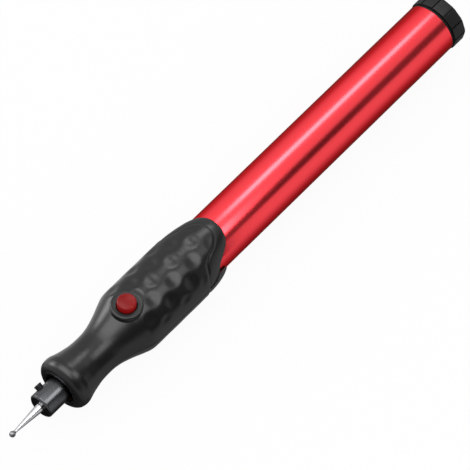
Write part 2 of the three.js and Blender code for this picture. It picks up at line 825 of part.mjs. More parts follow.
// A curved magnet centred on +Z, or on -Z when side is -1.
function magnet(side) {
  const middle = (side * Math.PI) / 2;
  const shape = new THREE.Shape();
  shape.absarc(0, 0, magnetOuterRadius, middle - magnetSpread / 2, middle + magnetSpread / 2);
  shape.absarc(0, 0, magnetInnerRadius, middle + magnetSpread / 2, middle - magnetSpread / 2, true);
  return drawnAlongX(shape, coreFrontX - magnetOverhang, coreRearX + magnetOverhang);
}

// The iron core: three stems on a hub, each with a curved shoe.
function armatureCore() {
  const hub = shaftRadius + runGap + coreHubWall;
  const [fromX, toX] = [coreFrontX, coreRearX];
  let core = solid(turned([[fromX, 0], [fromX, hub], [toX, hub], [toX, 0]], smallSides));
  for (let i = 0; i < poleCount; i += 1) {
    const middle = Math.PI / 2 + (i * Math.PI * 2) / poleCount;
    const shoe = new THREE.Shape();
    const inner = poleRadius - poleShoe;
    shoe.absarc(0, 0, poleRadius, middle - poleSpread / 2, middle + poleSpread / 2);
    shoe.absarc(0, 0, inner, middle + poleSpread / 2, middle - poleSpread / 2, true);
    const stem = block(
      [fromX, -poleStemWidth / 2, 0], [toX, poleStemWidth / 2, poleRadius - poleShoe / 2]);
    stem.rotateX(middle - Math.PI / 2);
    core = core.add(solid(drawnAlongX(shoe, fromX, toX, smallSides / 2))).add(solid(stem));
  }
  const bore = turned([
    [fromX - cutOverrun, 0], [fromX - cutOverrun, shaftRadius + runGap],
    [toX + cutOverrun, shaftRadius + runGap], [toX + cutOverrun, 0],
  ], smallSides);
  return shapeOf(core.subtract(solid(bore)));
}

// One coil of the armature, as a block wound round a stem.
function armatureWinding(index) {
  const hub = shaftRadius + runGap + coreHubWall;
  const low = hub + runGap;
  const high = Math.sqrt((poleRadius - poleShoe - runGap) ** 2 - (windingWidth / 2) ** 2);
  const outer = solid(block(
    [coreFrontX - windingOverhang, -windingWidth / 2, low],
    [coreRearX + windingOverhang, windingWidth / 2, high]));
  const inner = solid(block(
    [coreFrontX - runGap, -poleStemWidth / 2 - runGap, low - cutOverrun],
    [coreRearX + runGap, poleStemWidth / 2 + runGap, high + cutOverrun]));
  return shapeOf(outer.subtract(inner)).rotateX((index * Math.PI * 2) / poleCount);
}

function commutator() {
  const frontX = commutatorFrontX;
  let drum = solid(turnedRing([
    [frontX, shaftRadius + runGap], [frontX, commutatorRadius],
    [commutatorRearX, commutatorRadius], [commutatorRearX, shaftRadius + runGap],
  ], smallSides));
  for (let i = 0; i < poleCount; i += 1) {
    const slot = block(
      [frontX - cutOverrun, -commutatorSlotWidth / 2, commutatorRadius - commutatorSlotDepth],
      [commutatorRearX + cutOverrun, commutatorSlotWidth / 2, commutatorRadius + cutOverrun]);
    slot.rotateX(((i + 0.5) * Math.PI * 2) / poleCount);
    drum = drum.subtract(solid(slot));
  }
  return shapeOf(drum);
}

// A leaf brush beside the commutator, on the +Y side or the -Y side.
function brush(side) {
  const inner = side * (commutatorRadius + runGap);
  const outer = inner + side * brushThickness;
  return block(
    [motorRearX - brushLength, Math.min(inner, outer), -brushWidth / 2],
    [motorRearX, Math.max(inner, outer), brushWidth / 2]);
}

// A solder tag on the back of the motor.
function motorTerminal(side) {
  const middle = side * terminalOffset;
  return block(
    [bellRearX + seatGap, middle - terminalThickness / 2, -terminalWidth / 2],
    [bellRearX + seatGap + terminalLength, middle + terminalThickness / 2, terminalWidth / 2]);
}

function motorShaft() {
  const rear = bellBossRearX - bellBossLength / 2 - seatGap;
  return turned([
    [shaftFrontX, 0], [shaftFrontX, shaftRadius], [rear, shaftRadius], [rear, 0],
  ], smallSides);
}

function shaftCoupling() {
  const stepX = couplingFrontX + (couplingRearX - couplingFrontX) * couplingBoreShare;
  return turnedRing([
    [couplingFrontX, tailRadius + runGap], [couplingFrontX, couplingRadius],
    [couplingRearX, couplingRadius], [couplingRearX, shaftRadius + runGap],
    [stepX, shaftRadius + runGap], [stepX, tailRadius + runGap],
  ]);
}

function frontBush() {
  const bore = journalRadius + runGap;
  const flangeRearX = bushFlangeX + bushFlangeLength;
  return turnedRing([
    [bushFrontX, bore], [bushFrontX, bushRadius], [bushFlangeX, bushRadius],
    [bushFlangeX, bushFlangeRadius], [flangeRearX, bushFlangeRadius], [flangeRearX, bushRadius],
    [bushRearX, bushRadius], [bushRearX, bore],
  ]);
}

// Turns a piece built along +Z into the set screw's direction.
function towardsScrew(geometry) {
  return geometry.rotateX(-screwAngle).translate(chuckFrontX + screwFromChuckFront, 0, 0);
}

function spindleChuck() {
  const body = solid(turned([
    [chuckFrontX, 0], [chuckFrontX, chuckRadius - chuckEdge],
    [chuckFrontX + chuckEdge * softEdgeShare, chuckRadius - chuckEdge * softEdgeShare],
    [chuckFrontX + chuckEdge, chuckRadius], [journalFrontX, chuckRadius],
    [journalFrontX, journalRadius], [tailFrontX, journalRadius], [tailFrontX, tailRadius],
    [tailRearX, tailRadius], [tailRearX, 0],
  ]));
  const boreRearX = chuckFrontX + shankInChuck + fitGap;
  const bore = solid(turned([
    [chuckFrontX - cutOverrun, 0], [chuckFrontX - cutOverrun, shankRadius + runGap],
    [boreRearX, shankRadius + runGap], [boreRearX, 0],
  ]));
  const screwHole = towardsScrew(turnedUp([
    [0, 0], [0, screwRadius + runGap], [chuckRadius + cutOverrun, screwRadius + runGap],
    [chuckRadius + cutOverrun, 0],
  ], smallSides));
  return shapeOf(body.subtract(bore).subtract(solid(screwHole)));
}

function setScrew() {
  const low = shankRadius + runGap * 2;
  const high = chuckRadius + screwProud;
  const stud = turnedUp([
    [low, 0], [low, screwRadius - screwEdge], [low + screwEdge, screwRadius],
    [high - screwEdge, screwRadius], [high, screwRadius - screwEdge], [high, 0],
  ], smallSides);
  const socket = turnedUp([
    [high - screwSocketDepth, 0], [high - screwSocketDepth, screwSocketRadius],
    [high + cutOverrun, screwSocketRadius], [high + cutOverrun, 0],
  ], socketSides);
  return towardsScrew(shapeOf(solid(stud).subtract(solid(socket))));
}

function engravingBit() {
  const middle = tipX + ballRadius;
  const outline = [];
  const neckAngle = Math.PI - Math.asin(bitNeckRadius / ballRadius);
  for (let i = 0; i <= ballSteps; i += 1) {
    const angle = (neckAngle * i) / ballSteps;
    outline.push([middle - ballRadius * Math.cos(angle), ballRadius * Math.sin(angle)]);
  }
  const shankRearX = chuckFrontX + shankInChuck;
  return turned([
    ...outline,
    [chuckFrontX, shankRadius], [shankRearX - shankEdge, shankRadius],
    [shankRearX, shankRadius - shankEdge], [shankRearX, 0],
  ]);
}

function pushButton() {
  const edgeTop = buttonTop - buttonDome;
  const outline = [
    [buttonFlangeBase, 0], [buttonFlangeBase, buttonFlangeRadius],
    [buttonFlangeTop, buttonFlangeRadius], [buttonFlangeTop, buttonRadius],
    [edgeTop - buttonEdge, buttonRadius],
  ];
  for (let i = 1; i <= domeSteps; i += 1) {
    const inset = buttonEdge * (1 - Math.cos((i * Math.PI) / 2 / domeSteps));
    const rise = buttonEdge * Math.sin((i * Math.PI) / 2 / domeSteps);
    outline.push([edgeTop - buttonEdge + rise, buttonRadius - inset]);
  }
  const [shoulderRadius, shoulderRise] = buttonShoulderShares;
  outline.push([edgeTop + buttonDome * shoulderRise, buttonRadius * shoulderRadius], [buttonTop, 0]);
  const socket = turnedUp([
    [buttonFlangeBase - cutOverrun, 0], [buttonFlangeBase - cutOverrun, plungerRadius + runGap],
    [buttonFlangeBase + buttonSocketDepth, plungerRadius + runGap],
    [buttonFlangeBase + buttonSocketDepth, 0],
  ], smallSides);
  return shapeOf(solid(turnedUp(outline)).subtract(solid(socket))).translate(buttonX, 0, 0);
}

function switchPlunger() {
  const top = buttonFlangeBase + buttonSocketDepth - seatGap;
  return turnedUp([
    [plungerBase, 0], [plungerBase, plungerRadius], [top, plungerRadius], [top, 0],
  ], smallSides).translate(buttonX, 0, 0);
}

function switchBody() {
  const half = switchSize / 2;
  const box = solid(block([buttonX - half, -half, switchBase], [buttonX + half, half, switchTop]));
  const floor = plungerBase - buttonTravel - runGap;
  const well = turnedUp([
    [floor, 0], [floor, plungerRadius + runGap * 2],
    [switchTop + cutOverrun, plungerRadius + runGap * 2], [switchTop + cutOverrun, 0],
  ], smallSides).translate(buttonX, 0, 0);
  return shapeOf(box.subtract(solid(well)));
}

// A tag on the front or rear of the switch, to one side of its middle.
function switchTerminal(end, side) {
  const inner = buttonX + end * (switchSize / 2 + seatGap);
  const outer = inner + end * switchTabThickness;
  const middle = side * switchTabOffset;
  const low = (switchBase + switchTop - switchTabHeight) / 2;
  return block(
    [Math.min(inner, outer), middle - switchTabWidth / 2, low],
    [Math.max(inner, outer), middle + switchTabWidth / 2, low + switchTabHeight]);
}

// An insulated lead along a smooth curve through its points.
function lead(points) {
  const circle = new THREE.Shape();
  for (let i = 0; i < leadSides; i += 1) {
    const angle = (i * Math.PI * 2) / leadSides;
    const at = [leadRadius * Math.cos(angle), leadRadius * Math.sin(angle)];
    if (i === 0) circle.moveTo(...at);
    else circle.lineTo(...at);
  }
  circle.closePath();
  const path = new THREE.CatmullRomCurve3(points.map((p) => new THREE.Vector3(...p)), false,
    'centripetal');
  return closed(new THREE.ExtrudeGeometry(circle, {
    steps: leadSteps, bevelEnabled: false, extrudePath: path,
  }));
}

const leadY = leadRun * Math.sin(leadAngle);
const leadZ = leadRun * Math.cos(leadAngle);
const switchMiddleZ = (switchBase + switchTop) / 2;
const wiringX = bellBossRearX + (rivetFrontX - bellBossRearX) / 2;
const switchRearTabX = buttonX + switchSize / 2 + seatGap + switchTabThickness;
const switchFrontTabX = buttonX - switchSize / 2 - seatGap - switchTabThickness;
const tabLeadGap = runGap + leadRadius;

// From the front contact's rivet along the motor to the switch's rear tag.
function leadContactToSwitch() {
  const bellCorner = motorRadius + leadRadius + runGap;
  return lead([
    [wiringX, rivetHeadRadius, rivetHeadRadius],
    [wiringX, leadY * leadSwitchSideShare, leadZ * leadSwitchSideShare],
    [bellRearX, leadY * bellCorner / leadRun, leadZ * bellCorner / leadRun],
    [motorRearX - bellLength, leadY, leadZ],
    [motorFrontX + bellLength, leadY, leadZ],
    [motorFrontX - tabLeadGap - runGap, leadY * leadRiseShare, leadZ * leadRiseShare],
    [switchRearTabX + tabLeadGap, switchTabOffset, switchMiddleZ],
  ]);
}

// From the switch's front tag, past its side and along the motor, to the motor's tag.
function leadSwitchToMotor() {
  const sideY = switchSize / 2 + leadRadius + fitGap;
  const half = switchSize / 2;
  const tagX = bellRearX + seatGap + terminalLength + leadRadius + seatGap;
  return lead([
    [switchFrontTabX - tabLeadGap, -switchTabOffset, switchMiddleZ],
    [buttonX - half, -sideY, switchMiddleZ],
    [buttonX + half, -sideY, switchMiddleZ],
    [motorFrontX - tabLeadGap, -leadY * leadRiseShare, leadZ * leadRiseShare],
    [motorFrontX + bellLength, -leadY, leadZ],
    [motorRearX - bellLength, -leadY, leadZ],
    [bellRearX, -leadY, leadZ],
    [tagX, -terminalOffset, terminalWidth],
    [tagX, -terminalOffset, 0],
  ]);
}

// From the clip's leg to the motor's other tag.
function leadClipToMotor() {
  const tagX = bellRearX + seatGap + terminalLength + leadRadius + seatGap;
  const clipFrontX = carrierRearX - clipLength;
  const legTop = clipOuterZ() + clipLegHeight;
  return lead([
    [clipFrontX + clipThickness / 2, 0, legTop + tabLeadGap],
    [clipFrontX + clipThickness / 2 + leadRadius, clipWidth / 2, legTop + tabLeadGap],
    [tagX, terminalOffset - leadRadius, -terminalWidth],
    [tagX, terminalOffset, 0],
  ]);
}

const [gripTop, gripBottom] = gripHalves();

const housing = assembly(
  piece('grip_shell_top', gripTop, blackGrip),
  piece('grip_shell_bottom', gripBottom, blackGrip),
  piece('barrel_tube', barrelTube(), redTube),
  piece('front_bush', frontBush(), bronze),
  piece('battery_sleeve', turnedRing([
    [carrierRearX + seatGap, cellRadius + fitGap],
    [carrierRearX + seatGap, tubeInnerRadius - fitGap],
    [plugFrontX - fitGap, tubeInnerRadius - fitGap],
    [plugFrontX - fitGap, cellRadius + fitGap],
  ]), whitePlastic),
  piece('battery_front', cell(cellsFrontX), cellJacket),
  piece('battery_rear', cell(cellsFrontX + cellLength + cellGap), cellJacket),
  piece('contact_carrier', contactCarrier(), whitePlastic),
  piece('front_contact_plate', frontContactPlate(), brass),
  piece('ground_clip', groundClip(), brass),
);

const motor = assembly(
  piece('motor_can', motorCan(), brightSteel),
  piece('motor_end_bell', motorEndBell(), whitePlastic),
  piece('motor_magnet_upper', magnet(1), ferrite),
  piece('motor_magnet_lower', magnet(-1), ferrite),
  piece('motor_brush_left', brush(1), copper),
  piece('motor_brush_right', brush(-1), copper),
  piece('motor_terminal_left', motorTerminal(1), brass),
  piece('motor_terminal_right', motorTerminal(-1), brass),
);

const armature = assembly(
  piece('motor_shaft', motorShaft(), brightSteel),
  piece('armature_core', armatureCore(), ferrite),
  piece('commutator', commutator(), copper),
  ...Array.from({ length: poleCount }, (_, i) =>
    piece(`armature_winding_${i + 1}`, armatureWinding(i), copper)),
);

const spindle = assembly(
  armature,
  piece('shaft_coupling', shaftCoupling(), blackRubber),
  piece('spindle_chuck', spindleChuck(), darkSteel),
  piece('set_screw', setScrew(), blackSteel),
  piece('engraving_bit', engravingBit(), brightSteel),
);

const switching = assembly(
  piece('push_button', pushButton(), redButton),
  piece('switch_plunger', switchPlunger(), whitePlastic),
  piece('button_spring', coil(
    'button_spring', buttonSpringRadius, buttonSpringWire, buttonSpringCurls,
    switchTop + seatGap, buttonFlangeBase - seatGap,
    (along, radius, angle) => new THREE.Vector3(
      buttonX + radius * Math.cos(angle), radius * Math.sin(angle), along)), brightSteel),
  piece('switch_body', switchBody(), blackCap),
  piece('switch_terminal_front', switchTerminal(-1, -1), brass),
  piece('switch_terminal_rear', switchTerminal(1, 1), brass),
);

const wiring = assembly(
  piece('lead_contact_to_switch', leadContactToSwitch(), redLead),
  piece('lead_switch_to_motor', leadSwitchToMotor(), redLead),
  piece('lead_clip_to_motor', leadClipToMotor(), blackLead),
);

const capPlateRearX = rearX - capRearWall - seatGap;
const capPlateFrontX = capPlateRearX - capPlateThickness;

const cap = assembly(
  piece('end_cap', endCap(), blackCap),
  piece('cap_seal', capSeal(), blackRubber),
  piece('cap_contact_plate', turned([
    [capPlateFrontX, 0], [capPlateFrontX, capPlateRadius],
    [capPlateRearX, capPlateRadius], [capPlateRearX, 0],
  ]), brass),
  piece('cap_spring', coil(
    'cap_spring', capSpringRadius, capSpringWire, capSpringCurls,
    cellsRearX + seatGap, capPlateFrontX - seatGap,
    (along, radius, angle) => new THREE.Vector3(
      along, radius * Math.cos(angle), radius * Math.sin(angle))), brightSteel),
);

export default assembly(housing, motor, spindle, switching, wiring, cap);
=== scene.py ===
"""The looks of an electric engraving pen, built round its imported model.

The pen lies along X with its bit towards -X and its end cap towards +X. The button faces +Z.
Sizes are in millimetres from the pen's axis, halfway along it, and become metres at the axis's
place in the frame when a mesh is made. An angle round X is measured from +Z towards -Y.
"""

import json
import logging
import math
from collections.abc import Callable, Sequence
from dataclasses import dataclass
from enum import Enum

import bmesh
import bpy
from mathutils import Matrix, Vector

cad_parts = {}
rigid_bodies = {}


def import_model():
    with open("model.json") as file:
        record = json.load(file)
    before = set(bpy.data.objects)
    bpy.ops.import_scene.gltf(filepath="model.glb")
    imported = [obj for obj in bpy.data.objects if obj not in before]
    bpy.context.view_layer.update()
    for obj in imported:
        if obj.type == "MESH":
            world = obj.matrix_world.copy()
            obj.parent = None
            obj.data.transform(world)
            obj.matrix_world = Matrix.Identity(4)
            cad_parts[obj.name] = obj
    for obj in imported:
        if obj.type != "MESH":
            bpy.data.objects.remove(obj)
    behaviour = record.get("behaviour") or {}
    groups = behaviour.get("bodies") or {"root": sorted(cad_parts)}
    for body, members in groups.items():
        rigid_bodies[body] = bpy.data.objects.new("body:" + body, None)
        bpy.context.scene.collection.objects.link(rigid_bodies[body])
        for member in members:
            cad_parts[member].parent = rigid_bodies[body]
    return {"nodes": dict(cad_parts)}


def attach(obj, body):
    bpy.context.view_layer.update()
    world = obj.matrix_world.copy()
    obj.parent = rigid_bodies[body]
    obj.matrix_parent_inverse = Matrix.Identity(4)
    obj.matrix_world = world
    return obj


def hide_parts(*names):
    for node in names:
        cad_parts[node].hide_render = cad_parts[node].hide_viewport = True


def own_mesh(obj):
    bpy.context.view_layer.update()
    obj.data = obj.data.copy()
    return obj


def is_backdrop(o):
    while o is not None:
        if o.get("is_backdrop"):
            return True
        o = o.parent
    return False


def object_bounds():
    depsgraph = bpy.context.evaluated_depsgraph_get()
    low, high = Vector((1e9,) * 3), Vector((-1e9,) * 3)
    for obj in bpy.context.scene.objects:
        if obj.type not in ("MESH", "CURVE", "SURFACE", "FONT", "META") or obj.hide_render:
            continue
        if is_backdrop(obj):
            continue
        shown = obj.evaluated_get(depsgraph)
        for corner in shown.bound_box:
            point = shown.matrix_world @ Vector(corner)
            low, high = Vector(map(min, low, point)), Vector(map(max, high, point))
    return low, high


for leftover in list(bpy.data.objects):
    bpy.data.objects.remove(leftover)

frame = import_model()
CAD_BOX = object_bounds()
# A millimetre in metres, and how high the pen's axis lies in the frame, in millimetres.
MM = 0.001
AXIS_Z = -0.88
# Points of a mesh that lie closer than this, in metres, are one point.
SAME_PLACE = 1e-8
ROUNDING_STEPS = 3
# How far the far lamps and cards stand from the pen's middle, in metres.
FAR_PANEL = 0.8
log = logging.getLogger("pen")

Point = tuple[float, float, float]
Profile = Sequence[tuple[float, float]]
Place = Callable[[float, float, float], Point]
Colour = tuple[float, float, float, float]


def placed(point: Sequence[float]) -> Point:
    """A point drawn about the pen's axis, in millimetres, at its place in the frame in metres."""
    x, y, z = point
    return (x * MM, y * MM, (z + AXIS_Z) * MM)


def about_x(along: float, radius: float, angle: float) -> Point:
    """A point on a circle about the pen's axis."""
    return (along, -radius * math.sin(angle), radius * math.cos(angle))


def about_z(middle_x: float) -> Place:
    """Places points on circles about an upright axis that crosses the pen's axis."""
    return lambda along, radius, angle: (
        middle_x + radius * math.cos(angle), radius * math.sin(angle), along)


def blend(low: float, high: float, share: float) -> float:
    """The value a share of the way from low to high."""
    return low + (high - low) * share


def limited(value: float) -> float:
    """The value, kept between 0 and 1."""
    return max(0.0, min(1.0, value))


def eased(share: float) -> float:
    """A share that leaves 0 and reaches 1 gently."""
    t = limited(share)
    return t * t * (3 - 2 * t)


def steps(low: float, high: float, count: int) -> list[float]:
    """Count + 1 even places from low to high."""
    return [blend(low, high, i / count) for i in range(count + 1)]


def smooth(table: Profile, place: float) -> float:
    """Reads a table of (place, value) rows, smoothly between its rows.

    Args:
        table: Rows in rising order of place.
        place: Where to read it.

    Returns:
        The value there, held at the first and last row beyond them.
    """
    last = len(table) - 1
    if place <= table[0][0]:
        return table[0][1]
    if place >= table[last][0]:
        return table[last][1]
    i = max(k for k in range(last) if table[k][0] <= place)

    def rise(k: int) -> float:
        """The slope of the straight line after row k."""
        return (table[k + 1][1] - table[k][1]) / (table[k + 1][0] - table[k][0])

    def slope(k: int) -> float:
        """The slope that the smooth line has at row k.

        Args:
            k: The row's number.

        Returns:
            The slope, which is 0 at the table's ends and where the values turn back.
        """
        if k in (0, last):
            return 0.0
        before, after = rise(k - 1), rise(k)
        return 0.0 if before * after <= 0 else 2 * before * after / (before + after)

    span = table[i + 1][0] - table[i][0]
    t = (place - table[i][0]) / span
    return (
        (2 * t**3 - 3 * t**2 + 1) * table[i][1]
        + (t**3 - 2 * t**2 + t) * span * slope(i)
        + (3 * t**2 - 2 * t**3) * table[i + 1][1]
        + (t**3 - t**2) * span * slope(i + 1)
    )


def rounded(profile: Profile, edge: float) -> list[tuple[float, float]]:
    """Rounds the corners of a closed profile.

    Args:
        profile: Its corners, each once.
        edge: How far from a corner the rounding starts, at most a third of a side.

    Returns:
        The corners of the rounded profile.
    """
    made = []
    count = len(profile)
    for i, corner in enumerate(profile):
        here = Vector(corner)
        before, after = Vector(profile[i - 1]) - here, Vector(profile[(i + 1) % count]) - here
        if here[1] == 0 and (before[1] == 0 or after[1] == 0):
            made.append(corner)
            continue
        reach = min(edge, before.length / 3, after.length / 3)
        start, end = here + before.normalized() * reach, here + after.normalized() * reach
        for t in steps(0.0, 1.0, ROUNDING_STEPS):
            made.append(tuple(start * (1 - t) ** 2 + here * 2 * t * (1 - t) + end * t * t))
    return made


class Shape:
    """Points and faces that grow into one mesh."""

    def __init__(self) -> None:
        """Starts with nothing."""
        self.points: list[Point] = []
        self.faces: list[tuple[int, ...]] = []

    def row(self, points: Sequence[Point]) -> list[int]:
        """Adds points.

        Args:
            points: The points, in order.

        Returns:
            Their numbers.
        """
        first = len(self.points)
        self.points.extend(tuple(p) for p in points)
        return list(range(first, len(self.points)))

    def ring(self, place: Place, along: float, radius: float, sides: int) -> list[int]:
        """Adds the points of a circle and gives back their numbers."""
        return self.row([place(along, radius, math.tau * j / sides) for j in range(sides)])

    def strip(self, one: Sequence[int], other: Sequence[int], closed: bool = True,
              keep: Callable[[Point], bool] | None = None) -> None:
        """Joins two rows with faces.

        Args:
            one: The first row's numbers.
            other: The second row's numbers, as many.
            closed: Whether the rows run round to their start.
            keep: Tells of a point whether it stays. A face with no such point is left out.
        """
        count = len(one)
        for j in range(count if closed else count - 1):
            k = (j + 1) % count
            corners = (one[j], one[k], other[k], other[j])
            if keep is None or any(keep(self.points[c]) for c in corners):
                self.faces.append(tuple(dict.fromkeys(corners)))

    def skin(self, rows: Sequence[Sequence[int]], closed: bool = True,
             keep: Callable[[Point], bool] | None = None) -> None:
        """Joins each of several rows to the next one, leaving out a face with no kept point."""
        for one, other in zip(rows, rows[1:]):
            self.strip(one, other, closed, keep)

    def fan(self, row: Sequence[int], middle: Point, flip: bool = False) -> None:
        """Closes a round row on a middle point.

        Args:
            row: The row's numbers.
            middle: The point in its middle.
            flip: Whether the faces look the other way.
        """
        centre = self.row([middle])[0]
        for j, corner in enumerate(row):
            ends = (corner, row[(j + 1) % len(row)])
            self.faces.append((centre, *(reversed(ends) if flip else ends)))

    def turn(self, profile: Profile, place: Place, sides: int) -> "Shape":
        """Adds a body turned from a closed profile.

        Args:
            profile: Its (along, radius) corners, each once. A radius of 0 lies on the axis.
            place: Gives a point from a place along, a radius and an angle.
            sides: How many steps there are round it.

        Returns:
            The shape itself.
        """
        rows = []
        for along, radius in profile:
            if radius == 0:
                rows.append(self.row([place(along, 0.0, 0.0)]) * sides)
            else:
                rows.append(self.ring(place, along, radius, sides))
        for i, row in enumerate(rows):
            after = (i + 1) % len(rows)
            if profile[i][1] != 0 or profile[after][1] != 0:
                self.strip(row, rows[after])
        return self

    def wire(self, path: Sequence[Point], radius: float, sides: int, loop: bool = False) -> "Shape":
        """Adds a round wire along a path.

        Args:
            path: The points of its middle line.
            radius: The wire's radius.
            sides: How many sides its section has.
            loop: Whether the path runs round to its start.

        Returns:
            The shape itself.
        """
        line = [Vector(p) for p in path]
        count = len(line)
        rows, side = [], None
        for i, here in enumerate(line):
            back = line[i - 1] if loop or i > 0 else here
            ahead = line[(i + 1) % count] if loop or i + 1 < count else here
            along = (ahead - back).normalized()
            if side is None:
                side = along.orthogonal()
            side = (side - along * side.dot(along)).normalized()
            up = along.cross(side)
            rows.append(self.row([
                tuple(here + radius * (side * math.cos(a) + up * math.sin(a)))
                for a in (math.tau * k / sides for k in range(sides))]))
        if loop:
            self.skin([*rows, rows[0]])
        else:
            self.skin(rows)
            self.fan(rows[0], tuple(line[0]), flip=True)
            self.fan(rows[-1], tuple(line[-1]))
        return self

    def piece(self, name: str, finish: "Finish", crease: float = 38.0) -> bpy.types.Object:
        """Makes the mesh object.

        Args:
            name: The object's name.
            finish: What it is made of.
            crease: Edges that turn by more than this many degrees stay sharp.

        Returns:
            The new object, in the scene.
        """
        mesh = bpy.data.meshes.new(name)
        mesh.from_pydata([placed(p) for p in self.points], [], self.faces)
        mesh.validate()
        outwards(mesh)
        made = bpy.data.objects.new(name, mesh)
        bpy.context.scene.collection.objects.link(made)
        shade(mesh, crease)
        mesh.materials.append(finish.material())
        return made


def outwards(mesh: bpy.types.Mesh) -> None:
    """Joins points that lie in one place, and turns all faces outwards.

    Args:
        mesh: The mesh, which is changed.
    """
    work = bmesh.new()
    work.from_mesh(mesh)
    bmesh.ops.remove_doubles(work, verts=work.verts, dist=SAME_PLACE)
    bmesh.ops.recalc_face_normals(work, faces=work.faces)
    work.to_mesh(mesh)
    work.free()


def shade(mesh: bpy.types.Mesh, crease: float) -> None:
    """Shades a mesh smoothly except across edges that turn by more than crease degrees."""
    mesh.shade_smooth()
    mesh.set_sharp_from_angle(angle=math.radians(crease))


class Number:
    """A number on a node's socket, on which sums can be written."""

    def __init__(self, bench: "Bench", socket: bpy.types.NodeSocket) -> None:
        """Wraps a socket of the bench's tree."""
        self.bench = bench
        self.socket = socket

    def __add__(self, other: "Number | float") -> "Number":
        """The sum of the two."""
        return self.bench.sum("ADD", self, other)

    __radd__ = __add__

    def __sub__(self, other: "Number | float") -> "Number":
        """This less the other."""
        return self.bench.sum("SUBTRACT", self, other)

    def __rsub__(self, other: float) -> "Number":
        """The other less this."""
        return self.bench.sum("SUBTRACT", other, self)

    def __mul__(self, other: "Number | float") -> "Number":
        """The product of the two."""
        return self.bench.sum("MULTIPLY", self, other)

    __rmul__ = __mul__

    def __truediv__(self, other: "Number | float") -> "Number":
        """This divided by the other."""
        return self.bench.sum("DIVIDE", self, other)

    def __rtruediv__(self, other: float) -> "Number":
        """The other divided by this."""
        return self.bench.sum("DIVIDE", other, self)

    def at_least(self, other: "Number | float") -> "Number":
        """The greater of the two."""
        return self.bench.sum("MAXIMUM", self, other)

    def between(self, low: float, high: float) -> "Number":
        """A share that rises gently between two values.

        Args:
            low: Where the share is still 0.
            high: Where it reaches 1.

        Returns:
            The share.
        """
        made = self.bench.node(
            "ShaderNodeMapRange",
            {"interpolation_type": "SMOOTHSTEP"},
            {"Value": self, "From Min": low, "From Max": high})
        return Number(self.bench, made.outputs["Result"])


